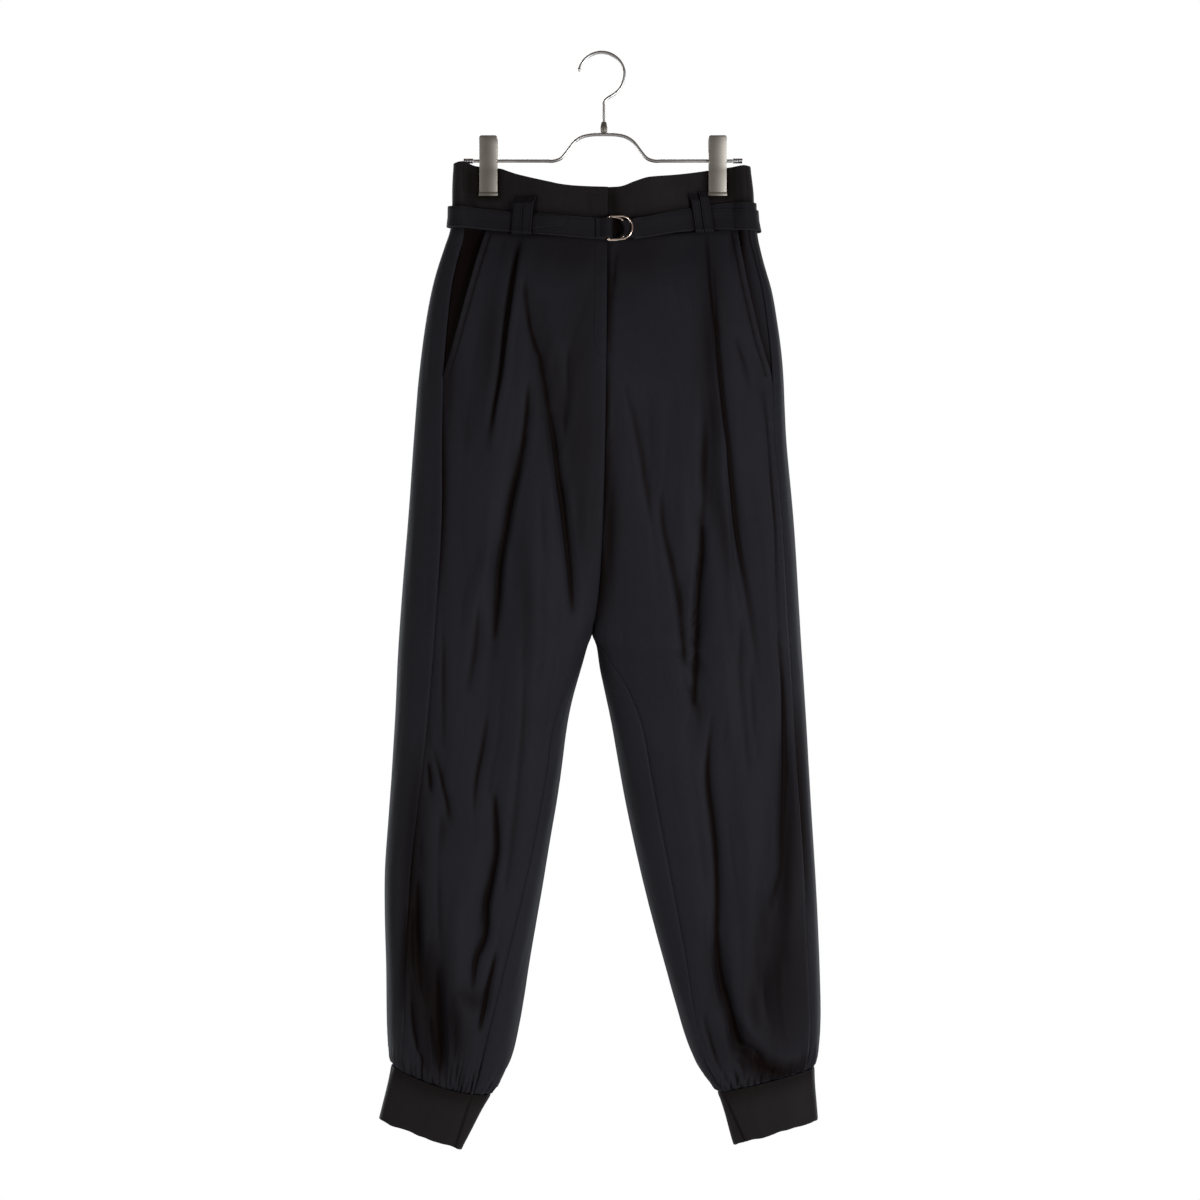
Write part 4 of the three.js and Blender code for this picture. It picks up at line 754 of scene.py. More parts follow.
# %% Close shade
JAW = [(3.4, 142.3), (3.4, 117), (4.2, 111), (6, 103), (8.4, 92), (9.6, 82.6)]  # (off the bar's plane, drop)
CLIP_X = 114.5  # millimetres from the hook's line to the middle of a clip
BELTS = ("belt_strap", "belt_tail")
LOOPS = ("loop_right_1", "loop_right_2", "loop_left_1", "loop_left_2", "loop_back_right", "loop_back_left")


def surface_places(*how, strip=False):
    """Places spread over a node's outer sheet."""
    return read_grid(*how, strip=strip).points.reshape(-1, 3)


def near_tree(places):
    """A search tree over places, to ask how far the nearest one is."""
    tree = kdtree.KDTree(len(places))
    for k, place in enumerate(places):
        tree.insert(place, k)
    tree.balance()
    return tree


def clip_places():
    """Places on the gripping faces of the four jaws."""
    found = []
    for middle in (-CLIP_X, CLIP_X):
        for facing in (-1, 1):
            for drop in range(112, 143, 2):
                found += [(x * MM, facing * (JAW[0][0] - 0.6) * MM, -drop * MM)
                          for x in np.arange(middle - 9, middle + 9.1, 1.5)]
    return found


belt_tree = near_tree(np.concatenate([surface_places(n, STRAP, 3, 3 * MM, strip=True) for n in BELTS]))
loop_tree = near_tree(np.concatenate([surface_places(n, CLOTH, 6, 1.5 * MM) for n in LOOPS]))
clip_tree = near_tree(clip_places())
print("places read from the belt, loops and clips:",
      [len(tree.find_range((0, 0, 0), 9)) for tree in (belt_tree, loop_tree, clip_tree)])


def close_shade(grid, tree, reach):
    """Painted shade: 1 where something lies on the cloth, falling away over a reach in millimetres."""
    flat = grid.points.reshape(-1, 3)
    off = np.array([tree.find(p)[2] for p in flat]).reshape(grid.points.shape[:2])
    return np.exp(-((off / MM / reach) ** 2))

# %% [markdown]
# ## The four panels
#
# A front and a back are cut for each leg, and the backs are wide enough to come round both edges. Along each
# seam the cloth sinks into the stitching and puckers a little, and above the cuffs it is drawn up into small
# gathers. The pocket mouth is a turned edge, so it stands a little proud and is pressed flat; the left one
# gapes less, so there the panel is cut a little shorter. A table of broad shade marks the places where the
# cloth hangs deepest: there the cloth sinks a little, and the shade is painted into its colour. Painted shade
# also darkens strips beside some seams, the pressed line inside each pocket mouth and the cloth under the belt.
# All of that is added to the folds before the sheet gets its thickness.

# %% Panels
def ripple(place, wave, seed):
    """A wandering wave along a length, between -1 and 1."""
    turn = 2 * math.pi * place / wave
    return 0.55 * np.sin(turn + seed) + 0.3 * np.sin(1.71 * turn + 2 * seed) + 0.15 * np.sin(2.9 * turn + 5 * seed)


def fade(length, start, end):
    """0 before start, 1 after end, and an easy slope between them, all in millimetres."""
    t = np.clip((length / MM - start) / (end - start), 0, 1)
    return t * t * (3 - 2 * t)


def near(length, reach):
    """1 at a seam and falling to nothing over a reach in millimetres."""
    return np.exp(-((length / MM / reach) ** 2))


BELT_FOOT, LEGS_PART = 215, 570  # drops in millimetres: the belt's shade ends, and the seams between the legs start
DIM_SINK, STREAK_HIGH, SLOW_HIGH = 1.4 * MM, 0.20 * MM, 0.8 * MM  # deep places, fine streaks, slow waves
SEAM_SINK, PUCKER_HIGH, GATHER_HIGH, TOP_DIMPLE = 0.9 * MM, 0.38 * MM, 0.85 * MM, 0.30 * MM
MOUTH_RISE, MOUTH_SINK, MOUTH_LINE = 0.35, 0.4, 5.8 * MM  # the pocket's turned edge, and the pressed line beside it
PRESSED = 0.6  # the wear of a pressed edge, where 1 is the most
SEAM_GAP = 0.15 * MM  # what a panel reaches out, so that it meets the next one

SHADED_SEAMS = {  # by panel: edge, from, to, reach, depth; there the cloth falls away behind the seam and the strip is painted in shade
    "front_panel_left": ((-1, 176, 318, 4.4, 0.6), (-1, 296, 420, 3.4, 0.4), (-1, 370, 500, 7.0, 0.6),
                         (-1, 470, 580, 10.0, 0.5)),
    "front_panel_right": ((0, 312, 545, 5.0, 0.5),),
    "back_panel_right": ((0, 830, 960, 6.0, 0.5),),
    "back_panel_left": ((0, 640, 860, 6.0, 0.5),),
}

DIM_PLACES = {  # by piece: path of (out, drop) places, width and strength of the broad shade, painted in deep cloth and in shadows
    "front_panel_right": (
        (((160, 182), (164, 260), (168, 340), (172, 420)), 10, 0.6),
        (((184, 660), (190, 760), (194, 830), (190, 890), (182, 950), (170, 1010)), 15, 1.0),
        (((178, 880), (170, 950), (162, 1024)), 20, 0.9),
        (((148, 930), (128, 942), (112, 936)), 12, 0.6),
        (((66, 240), (58, 310), (52, 380), (46, 430)), 12, 0.45),
        (((10, 200), (24, 290), (22, 380), (14, 470), (8, 540)), 20, 0.4),
        (((70, 186), (34, 194), (-10, 198)), 34, 0.5),
        (((108, 230), (112, 290), (114, 340)), 10, 0.35),
        (((150, 250), (154, 310), (157, 360), (160, 410)), 9, 0.6),
        (((47, 296), (44, 350), (43, 400)), 10, 0.45),
        (((84, 470), (76, 540), (74, 620)), 9, 0.3),
        (((150, 930), (146, 970), (144, 1004)), 12, 0.75),
    ),
    "front_panel_left": (
        (((108, 196), (108, 260), (104, 330), (110, 380)), 12, 0.65),
        (((-10, 190), (30, 196), (76, 194)), 34, 0.5),
        (((6, 400), (7, 470), (3, 550)), 8, 0.9),
        (((181, 690), (183, 780), (180, 870), (168, 930)), 14, 0.75),
        (((176, 830), (176, 930), (180, 1000)), 34, 0.7),
        (((124, 968), (150, 1002), (180, 1016), (214, 1010)), 15, 1.0),
        (((106, 880), (117, 940), (132, 978)), 9, 0.6),
        (((4, 196), (16, 222), (30, 262)), 26, 0.22),
        (((14, 184), (12, 208), (9, 236), (6, 268), (3, 302)), 3.6, 0.8),
        (((103, 180), (105.5, 222), (108.5, 256), (113, 296), (117, 340), (120, 376)), 3.0, 1.0),
        (((110, 425), (119, 478), (127, 530)), 8, 0.45),
        (((150, 915), (150, 945), (154, 978)), 9, 0.65),
    ),
    "back_panel_right": (
        (((70, 210), (60, 300), (48, 400)), 14, 0.5),
        (((180, 700), (186, 820), (180, 930), (168, 1010)), 15, 0.8),
        (((132, 900), (140, 1010)), 13, 0.6),
    ),
    "back_panel_left": (
        (((104, 210), (110, 300), (118, 390)), 12, 0.5),
        (((184, 700), (180, 830), (172, 940)), 14, 0.5),
        (((140, 990), (170, 1010), (200, 1006)), 13, 0.8),
        (((153, 172), (157, 194), (161, 210), (165, 228)), 5, 0.9),
    ),
    "pocket_facing_left": ((((146, 170), (151, 192), (157, 210), (162, 230)), 5, 0.9),),
    "waistband_front_right": ((((132, 106), (131, 128), (130, 152)), 7, 0.85), (((101, 112), (100, 150)), 4, 0.4)),
    "waistband_front_left": (
        (((128, 110), (127, 150)), 6, 0.7), (((103, 116), (102, 150)), 4, 0.6),
        (((9, 134), (10, 150), (12, 168)), 6, 0.75), (((14, 158), (14, 172), (15, 188)), 6, 1.0),
    ),
}


def broad_shade(name, points):
    """The painted soft shade of a piece's deep places, between 0 and 1."""
    shade = np.zeros(points.shape[:2])
    for path, wide, strong in DIM_PLACES.get(name, ()):
        shade = np.maximum(shade, fold_heights([(path, wide, wide, strong)], points) / MM)
    return shade


def dress_panel(name, grid, folds, seed, mouth_rows=0):
    """Adds folds, seams, puckers and gathers to a panel's grid; returns its wear and its painted shade."""
    (first, last), (top, bottom) = grid.from_sides(), grid.from_ends()
    grid.ease_down(9, fade(first, 1, 16) * fade(last, 1, 16) * fade(top, 1, 30) * fade(bottom, 1, 30))
    inside = fade(first, 1, 9) * fade(last, 1, 9) * fade(top, 1, 22) * fade(bottom, 0, 9)
    height = (fold_heights(folds, grid.points) - DIM_SINK * broad_shade(name, grid.points)) * inside
    streak = ripple(grid.across + 6 * MM * ripple(grid.down, 260 * MM, seed), 12 * MM, 3 * seed)
    patchy = 0.5 + 0.5 * ripple(grid.down, 190 * MM, seed + grid.across / (40 * MM))
    height += STREAK_HIGH * streak * patchy * inside
    slow = 0.6 + 0.4 * ripple(grid.down, 330 * MM, seed)
    height += SLOW_HIGH * ripple(grid.across, 58 * MM, seed + 2) * inside * slow
    mouth = (np.arange(len(grid.points)) < mouth_rows).astype(float)[:, None]
    drop = -grid.points[..., 2] / MM
    calm = 1 - 0.9 * np.exp(-(((drop - LEGS_PART) / 60) ** 2))  # where the legs part, the seam stays closed
    seams = np.maximum(near(first, 2.0) * (1 - mouth), near(last, 2.0) * calm)
    seams = np.maximum(seams, np.maximum(near(top, 1.8), near(bottom, 1.8)))
    height -= SEAM_SINK * seams
    for side, wave in ((first, 15 * MM), (last, 18 * MM)):
        height += PUCKER_HIGH * ripple(grid.down, wave, seed) * near(side, 7) * fade(side, 0, 3)
    gathered = near(bottom, 15) * fade(bottom, 0, 2) + 0.45 * near(bottom, 30)
    height += GATHER_HIGH * ripple(grid.across, 6.3 * MM, seed + 1) * gathered * fade(bottom, 0, 2)
    height -= TOP_DIMPLE * (0.5 + 0.5 * ripple(grid.across, 9 * MM, seed + 2)) * near(top, 8)
    height += mouth * MM * (MOUTH_RISE * (1 - fade(first, 5, 7.5)) - MOUTH_SINK * near(first - MOUTH_LINE, 1.2))
    # painted shade: along the pressed line inside the pocket mouth, in strips beside some seams, under the belt and
    # in the table's places
    shade = mouth * 0.7 * near(first - MOUTH_LINE, 1.6)
    for edge, start, end, reach, deep in SHADED_SEAMS.get(name, ()):
        swell = np.sin(math.pi * np.clip((drop - start) / (end - start), 0, 1))
        strip = near(first if edge == 0 else last, reach) * swell
        height -= deep * MM * strip
        shade = np.maximum(shade, strip ** 0.6)
    height *= 1 - np.maximum(near(first, 5), near(last, 5)) * near(bottom, 8)  # the corners stay shut
    grid.lift(height)
    meeting = SEAM_GAP + 0.24 * MM * np.exp(-(((drop[:, 0] - 490) / 75) ** 2))  # more on the curved seam
    grid.reach_out(-1, meeting).reach_out(0, SEAM_GAP * (1 - mouth[:, 0]))
    shade = np.maximum(shade, 0.8 * close_shade(grid, belt_tree, 5.5) * (drop < BELT_FOOT))
    shade = np.maximum(shade, broad_shade(name, grid.points))
    return PRESSED * np.maximum(near(first, 1.2) * mouth, near(bottom, 1.0)), shade


def store(piece, name, values):
    """Keeps values on the piece's points, where the finish reads them by name."""
    piece.data.attributes.new(name, "FLOAT", "POINT").data.foreach_set("value", values.ravel().astype(np.float32))


grids = {}


def make_sheet(name, grid, worn, finish, thick, rounded=0.0, shade=0.0, sinks=True):
    """Turns a grid into the finished cloth of a node: mesh, wear, finish and thickness."""
    piece = grid_mesh(f"{name}_cloth", grid)
    store(piece, "edge", np.broadcast_to(worn, grid.points.shape[:2]).astype(float))
    # painted shade: points that lie deep below the cloth around them are painted darker, on top of the given shade
    hollows = np.clip(grid.hollows() / (1.3 * MM), 0, 1) if sinks else np.zeros(grid.points.shape[:2])
    store(piece, "painted_shade", np.maximum(hollows, shade))
    piece.data.materials.append(finish)
    thicken(piece, thick, rounded)
    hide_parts(name)
    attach(piece, "root")
    grids[name] = grid


POCKET_END = 326 * MM
MOUTH_CUT = ((168, 228, 284, 324, 334), (11.5, 10.5, 6.8, 1.6, 0))  # left pocket: drops, and how far it is cut in
for side, front_folds, back_folds in (("right", RIGHT_FRONT, RIGHT_BACK), ("left", LEFT_FRONT, LEFT_BACK)):
    for part, folds in (("front", front_folds), ("back", back_folds)):
        name = f"{part}_panel_{side}"
        grid = read_grid(name, CLOTH, *((7, 2.45 * MM) if part == "front" else (6, 3.4 * MM)))
        if name == "front_panel_left":
            drops = -grid.points[:, 0, 2] / MM
            grid.recut(np.interp(drops, *MOUTH_CUT) * MM, 0 * drops)
        mouth_rows = int(np.sum(-grid.points[:, 0, 2] < POCKET_END)) if part == "front" else 0
        worn, shade = dress_panel(name, grid, folds, seed=len(grids) + 1.3, mouth_rows=mouth_rows)
        make_sheet(name, grid, worn, PANEL_CREPE, CLOTH, shade=shade)

# %% [markdown]
# ## Pocket facings and fly placket
#
# Behind each slanted pocket mouth lies a facing of the same crepe, and behind the centre front seam a strip
# that backs the opening. The right facing and the strip get a darker copy of the crepe with painted shade all
# over, as they lie deep in shadow; the left facing keeps the panels' crepe, with painted shade near the mouth's
# edge. They lie smooth on what is under them, so they get only a slight unevenness.

# %% Facings and placket
FACING_MORE = 11 * MM  # the left facing is this much wider than its wall, since its panel is cut in
PLACKET_SUNK, FACING_SUNK = 2.4, 0.4  # millimetres that they lie behind their walls

for name in ("pocket_facing_right", "pocket_facing_left", "fly_placket"):
    grid = read_grid(name, CLOTH, 8, 3 * MM)
    # the right facing and the strip: a darker copy of the crepe and even painted shade, for cloth deep in shadow
    finish, shade = SHADED_FACING_CREPE, 0.75
    if name == "pocket_facing_left":
        grid.recut(np.zeros(len(grid.points)), np.full(len(grid.points), FACING_MORE))
    top, bottom = grid.from_ends()
    uneven = ripple(grid.down, 46 * MM, len(grids)) * ripple(grid.across, 30 * MM, 2)
    sunk = PLACKET_SUNK if name == "fly_placket" else FACING_SUNK
    height = -MM * (0.25 * (0.5 + 0.5 * uneven) * fade(top, 0, 10) + sunk * fade(top, 0, 8)) * fade(bottom, 0, 10)
    if name != "fly_placket":  # the facing's hidden edge is caught to the panel in front of it
        far = np.abs(grid.points[:, 0, 0]).mean() < np.abs(grid.points[:, -1, 0]).mean()
        hidden = grid.from_sides()[0 if far else 1]
        panel_tree = near_tree(grids[name.replace("pocket_facing", "front_panel")].points.reshape(-1, 3))
        room = np.array([panel_tree.find(p)[2] for p in grid.points.reshape(-1, 3)]).reshape(hidden.shape)
        height += np.clip(room - 2.0 * MM, -2 * MM, 6 * MM) * near(hidden, 5) * fade(top, 0, 8) * fade(bottom, 0, 8)
    grid.lift(height)
    if name == "pocket_facing_left":  # this pocket gapes less, so light reaches its facing
        finish, panel = PANEL_CREPE, grids["front_panel_left"]
        mouth_line = panel.points[-panel.points[:, 0, 2] < POCKET_END, 0]
        # painted shadow of the mouth's edge, darkest next to it, and painted shade in the table's places
        shade = np.clip(1.25 * close_shade(grid, near_tree(mouth_line), 8), 0, 1)
        shade = np.maximum(shade, broad_shade(name, grid.points))
    make_sheet(name, grid, 0, finish, CLOTH, shade=shade)

# %% [markdown]
# ## The waistband
#
# The high waistband is cloth folded double, so its wall is thicker and its top edge is a round fold. It is
# stitched to the panels below, where it sinks a little into the seam. The clips hold it at two places, and
# between them its own weight makes it sag into slight upright hollows.

# %% Waistband
BAND_CREASES = [  # signed distance from the hook's line, width, depth; they run from the top edge down
    (-119, 6.0, -0.55), (-101, 4.0, -0.6), (-88, 7.0, 0.5), (-64, 9.0, -0.5), (-38, 8.0, 0.4), (-14, 6.0, -0.35),
    (24, 8.0, 0.45), (52, 9.0, -0.5), (78, 7.0, 0.4), (100, 4.0, -0.6), (121, 4.5, -0.6), (134, 6.0, 0.3),
]
FOLD_ROUND = 0.55 * MM  # the roundness of a folded edge
BAND_WAVE, BAND_SINK, BAND_LINE, BAND_DIMPLE = 0.22 * MM, 0.5 * MM, 0.16 * MM, 0.2 * MM


def dress_band(name, grid, facing):
    """Upright hollows, a pressed top edge and a sunk seam; returns the wear of the edges and the painted shade."""
    top, bottom = grid.from_ends()
    out = grid.points[..., 0] / MM
    height = np.zeros(out.shape)
    for at, wide, deep in BAND_CREASES:
        height += deep * MM * np.exp(-(((out - at * facing) / wide) ** 2))
    height *= fade(top, 0, 16) * fade(bottom, 0, 12)
    height += BAND_WAVE * ripple(grid.across, 21 * MM, 3) * fade(top, 0, 14) * fade(bottom, 0, 8)
    height -= BAND_SINK * near(bottom, 2.2) + BAND_LINE * near(top - 7 * MM, 1.4)
    height -= BAND_DIMPLE * (0.5 + 0.5 * ripple(grid.across, 8 * MM, 4)) * near(bottom, 7)
    grid.lift(height)
    # painted shade where the belt, the clips and the loops lie on the band, and in the table's places beside the
    # clips and inside the rings
    shade = np.maximum(0.8 * close_shade(grid, belt_tree, 5.0), 0.9 * close_shade(grid, clip_tree, 6.5))
    shade = np.maximum(shade, broad_shade(name, grid.points))
    return PRESSED * near(top, 1.4), np.maximum(shade, 0.8 * close_shade(grid, loop_tree, 3.6))


for name, facing in (("waistband_front_right", 1), ("waistband_front_left", 1), ("waistband_back", -1)):
    grid = read_grid(name, DOUBLE, 7, 1.9 * MM)
    worn, shade = dress_band(name, grid, facing)
    make_sheet(name, grid, worn, BAND_CREPE, DOUBLE, rounded=FOLD_ROUND, shade=shade)

# %% [markdown]
# ## The cuffs
#
# Each cuff is a straight band, folded double and closed in a ring with one upright seam, which has turned
# round to the front. It is a little tighter than the leg, so the leg's gathers press small dimples into its
# upper edge. Its folded lower edge is slack, so it waves a little and hangs lower behind.

# %% Cuffs
CUFF_SEAMS = {  # (across, drop) at both ends
    "right": ((-129.5, 1035), (-146, 1087)),
    "left": ((119, 1035), (140, 1083)),
}


def beside_line(points, start, end):
    """Distance in millimetres of a grid's points from a line drawn on the front."""
    flat = np.stack([points[..., 0], -points[..., 2]], axis=-1) / MM
    start, way = np.array(start), np.array(end, float) - np.array(start)
    off = flat - start
    return np.abs(off[..., 0] * way[1] - off[..., 1] * way[0]) / np.linalg.norm(way)


for side in ("right", "left"):
    name = f"cuff_{side}"
    grid = read_grid(name, DOUBLE, 7, 1.9 * MM, closed=True)
    top, bottom = grid.from_ends()
    girth = float(grid.across[0, -1])
    around = grid.across / grid.across[:, -1:] * girth
    height = 0.35 * MM * ripple(around, girth / 24, 1) * near(top, 9)
    height += 0.3 * MM * ripple(around, girth / 7, 2) * fade(top, 4, 20) * fade(bottom, 0, 6)
    height -= 0.45 * MM * near(top, 2)
    behind = grid.points[..., 1] - grid.points[..., 1].mean()
    seam = np.exp(-((beside_line(grid.points, *CUFF_SEAMS[side]) / 1.3) ** 2)) * (behind < 0)
    grid.lift(height - 0.7 * MM * seam)
    downward = unit(np.gradient(grid.points, axis=0))
    slack = 0.9 * MM * ripple(around, girth / 5, 3) + 2.6 * MM * fade(behind, -2, 8)
    grid.points = grid.points + downward * (slack * near(bottom, 22))[..., None]
    grid.measure()
    # painted shade: a dark line along the seam, and a band along the top edge under the leg's gathers
    shade = np.maximum(0.8 * seam, 0.55 * near(top, 13))
    make_sheet(name, grid, 0.5 * near(bottom, 1.4), BAND_CREPE, DOUBLE, rounded=FOLD_ROUND, shade=shade)

# %% [markdown]
# ## Belt and loops
#
# The belt is one long strip in two stretches: the strap goes round the waist and is turned back round the
# straight sides of the two rings, and the tail runs through the rings, turns back and lies on the strap.
# Six loops, two close together at each side of the front and two at the back, hold both layers.

# %% Belt and loops
RIM_ROUND = 0.3 * MM  # the roundness of a belt's or loop's edge

for name in BELTS:
    grid = read_grid(name, STRAP, 5, 1.5 * MM, strip=True)
    top, bottom = grid.from_ends()
    height = 0.16 * MM * ripple(grid.across, 33 * MM, len(grids)) * fade(top, 0, 4) * fade(bottom, 0, 4)
    height -= 0.12 * MM * (near(top - 2 * MM, 0.9) + near(bottom - 2 * MM, 0.9))
    grid.lift(height)
    # painted shade where the loops lie on the belt; folds of the belt get none
    beside_loops = 0.85 * close_shade(grid, loop_tree, 3.0)
    worn = np.maximum(near(top, 0.8), near(bottom, 0.8))
    make_sheet(name, grid, worn, BELT_CREPE, STRAP, rounded=RIM_ROUND, shade=beside_loops, sinks=False)

for name in LOOPS:
    grid = read_grid(name, CLOTH, 8, 0.9 * MM)
    sides = np.minimum(*grid.from_sides())
    grid.lift(-0.1 * MM * near(sides - 1.5 * MM, 0.6))
    make_sheet(name, grid, near(sides, 0.7), BELT_CREPE, CLOTH, rounded=RIM_ROUND)

# %% [markdown]
# ## Stitches
#
# Topstitching shows along the pocket mouths, the fly, the belt and the loops, in thread the colour of the
# cloth. One stitch is a small ball drawn out into a grain of thread. It is copied along each seam and every
# copy is laid on the cloth, heading along the seam, and all the stitches of a seam are one mesh.

# %% Stitches
STITCH_LONG, STITCH_THICK, STITCH_PITCH = 2.3 * MM, 0.42 * MM, 3.1 * MM
PROUD = 0.05 * MM  # the middle of the thread lies this far off the cloth


def thread_finish():
    """Black polyester thread: two strands twisted together, so it has a fine broken sheen."""
    made, tree, body = new_finish("sewing_thread", {"Roughness": 0.6, "Specular IOR Level": 0.03})
    place = node(tree, "ShaderNodeTexCoord").outputs["Object"]
    strands = node(tree, "ShaderNodeTexNoise", {"Vector": place, "Scale": 1400.0, "Detail": 2.0}).outputs["Fac"]
    tones = mixed(tree, (0.0020, 0.0014, 0.0015), (0.0070, 0.0058, 0.0062), strands)
    tree.links.new(tones, body.inputs["Base Color"])
    raise_from(tree, body, strands, 0.3, 0.00008)
    return made


THREAD = thread_finish()


def one_stitch():
    """The grain of thread that every seam repeats, as points and faces."""
    deselect()
    bpy.ops.mesh.primitive_uv_sphere_add(segments=6, ring_count=4, radius=0.5, location=(0, 0, 0))
    grain = bpy.context.object
    bpy.ops.object.mode_set(mode="EDIT")
    bpy.ops.mesh.select_all(action="SELECT")
    bpy.ops.transform.rotate(value=math.radians(90), orient_axis="Y", center_override=(0, 0, 0))
    bpy.ops.transform.resize(value=(STITCH_LONG, STITCH_THICK * 1.2, STITCH_THICK), center_override=(0, 0, 0))
    bpy.ops.object.mode_set(mode="OBJECT")
    points = np.array([v.co[:] for v in grain.data.vertices])
    faces = [tuple(f.vertices) for f in grain.data.polygons]
    bpy.data.objects.remove(grain)
    return points, faces


grain_points, grain_faces = one_stitch()


def seam_on(grid, start, end, steps=400):
    """A line laid on a grid between (across, down) shares, as even places and the cloth's normals there."""
    rows, columns = grid.points.shape[:2]
    share = np.linspace(0, 1, steps)[:, None]
    place = np.asarray(start) * (1 - share) + np.asarray(end) * share
    return pick(grid, place[:, 0] * (columns - 1), place[:, 1] * (rows - 1))


def pick(grid, across, down):
    """Places on a grid at fractional columns and rows, a little off it, with the normals there."""
    rows, columns = grid.points.shape[:2]
    j = np.clip(np.floor(across).astype(int), 0, columns - 2)
    i = np.clip(np.floor(down).astype(int), 0, rows - 2)
    a, b = (across - j)[:, None], (down - i)[:, None]

    def blend(table):
        near_row = table[i, j] * (1 - a) + table[i, j + 1] * a
        return near_row * (1 - b) + (table[i + 1, j] * (1 - a) + table[i + 1, j + 1] * a) * b

    normals = unit(blend(grid.normals))
    return blend(grid.points) + normals * PROUD, normals


def column_at(grid, row, inset):
    """The fractional column that lies an inset in metres in from the grid's first edge, or last if below 0."""
    lengths = grid.across[row]
    wanted = inset if inset >= 0 else lengths[-1] + inset
    return np.interp(wanted, lengths, np.arange(len(lengths)))


def edge_seam(grid, inset, first, last):
    """A line an even inset in from a side edge of a grid, from one share of its rows to another."""
    rows = grid.points.shape[0]
    down = np.linspace(first * (rows - 1), last * (rows - 1), max(30, int(rows * abs(last - first))))
    across = np.array([column_at(grid, int(round(r)), inset) for r in down])
    return pick(grid, across, down)


def sew(name, lines):
    """Lays stitches along lines of places and joins them into one piece."""
    points, faces = [], []
    for places, normals in lines:
        reach = along(places[None], 1)[0]
        marks = np.arange(STITCH_PITCH / 2, reach[-1] - STITCH_PITCH / 3, STITCH_PITCH)
        middles = read_along(marks, reach, places)
        ahead = unit(read_along(marks + 0.4 * MM, reach, places) - read_along(marks - 0.4 * MM, reach, places))
        up = read_along(marks, reach, normals)
        up = unit(up - ahead * (up * ahead).sum(axis=1, keepdims=True))
        turns = np.stack([ahead, np.cross(up, ahead), up], axis=1)
        for middle, turn in zip(middles, turns):
            base = len(points)
            points += [tuple(p) for p in grain_points @ turn + middle]
            faces += [tuple(base + i for i in f) for f in grain_faces]
    mesh = bpy.data.meshes.new(name)
    mesh.from_pydata(points, [], faces)
    mesh.shade_smooth()
    mesh.materials.append(THREAD)
    piece = new_piece(name, mesh)
    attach(piece, "root")
    print(name, len(points) // len(grain_points), "stitches")


def row_share(grid, drop):
    """How far down a grid a drop in millimetres lies, as a share of its rows."""
    drops = -grid.points[..., 2].mean(axis=1) / MM
    return float(np.interp(drop, drops, np.linspace(0, 1, len(drops))))


MOUTH_INSET, MOUTH_TOP, MOUTH_END = 6.6 * MM, 180, 324  # the pocket's topstitching, between two drops
for side in ("right", "left"):
    panel = grids[f"front_panel_{side}"]
    ends = row_share(panel, MOUTH_TOP), row_share(panel, MOUTH_END)
    sew(f"pocket_stitches_{side}", [edge_seam(panel, MOUTH_INSET, *ends)])

FLY_INSET, FLY_TURN, FLY_END = 12.5, 284, 306  # the fly's topstitching, which turns in to the seam at its foot
panel = grids["front_panel_right"]
fly_drops = np.linspace(178, FLY_END, 90)
fly_insets = FLY_INSET * np.sqrt(np.clip(1 - ((fly_drops - FLY_TURN) / (FLY_END - FLY_TURN)).clip(0) ** 2, 0.01, 1))
fly_rows = np.array([row_share(panel, drop) for drop in fly_drops]) * (len(panel.points) - 1)
fly_columns = np.array([column_at(panel, int(round(r)), -inset * MM) for r, inset in zip(fly_rows, fly_insets)])
sew("fly_stitches", [pick(panel, fly_columns, fly_rows)])

for name in BELTS:
    sew(f"{name}_stitches", [seam_on(grids[name], (0.004, share), (0.996, share)) for share in (0.09, 0.91)])

sew("loop_stitches", [edge_seam(grids[name], inset, 0.04, 0.96) for name in LOOPS for inset in (1.5 * MM, -1.5 * MM)])

# %% [markdown]
# ## Metal finishes
#
# The hanger is nickel-plated steel wire, drawn and then brushed, so fine scratches run along it, and the
# plating has dulled in patches. The two rings are a pale rose bronze, smoother, with the odd small mark.
# One node group gives both: scratches for the relief, and patches for the roughness and the tone.

# %% Metals
def make_brushed():
    """Scratches along a direction, and dull patches."""
    group, given, put = new_group(
        "brushed_metal",
        [("Place", "NodeSocketVector", None), ("Along", "NodeSocketVector", None)],
        [("Scratches", "NodeSocketFloat"), ("Patches", "NodeSocketFloat")],
    )
    place = given.outputs["Place"]
    drawn = node(group, "ShaderNodeVectorMath", {0: place, 1: given.outputs["Along"]}, operation="MULTIPLY")
    lines = node(group, "ShaderNodeTexNoise",
                 {"Vector": drawn.outputs[0], "Scale": 1.0, "Detail": 5.0, "Roughness": 0.65})
    dull = node(group, "ShaderNodeTexNoise", {"Vector": place, "Scale": 70.0, "Detail": 3.0, "Roughness": 0.5})
    group.links.new(lines.outputs["Fac"], put.inputs["Scratches"])
    group.links.new(dull.outputs["Fac"], put.inputs["Patches"])
    return group


brushed_group = make_brushed()


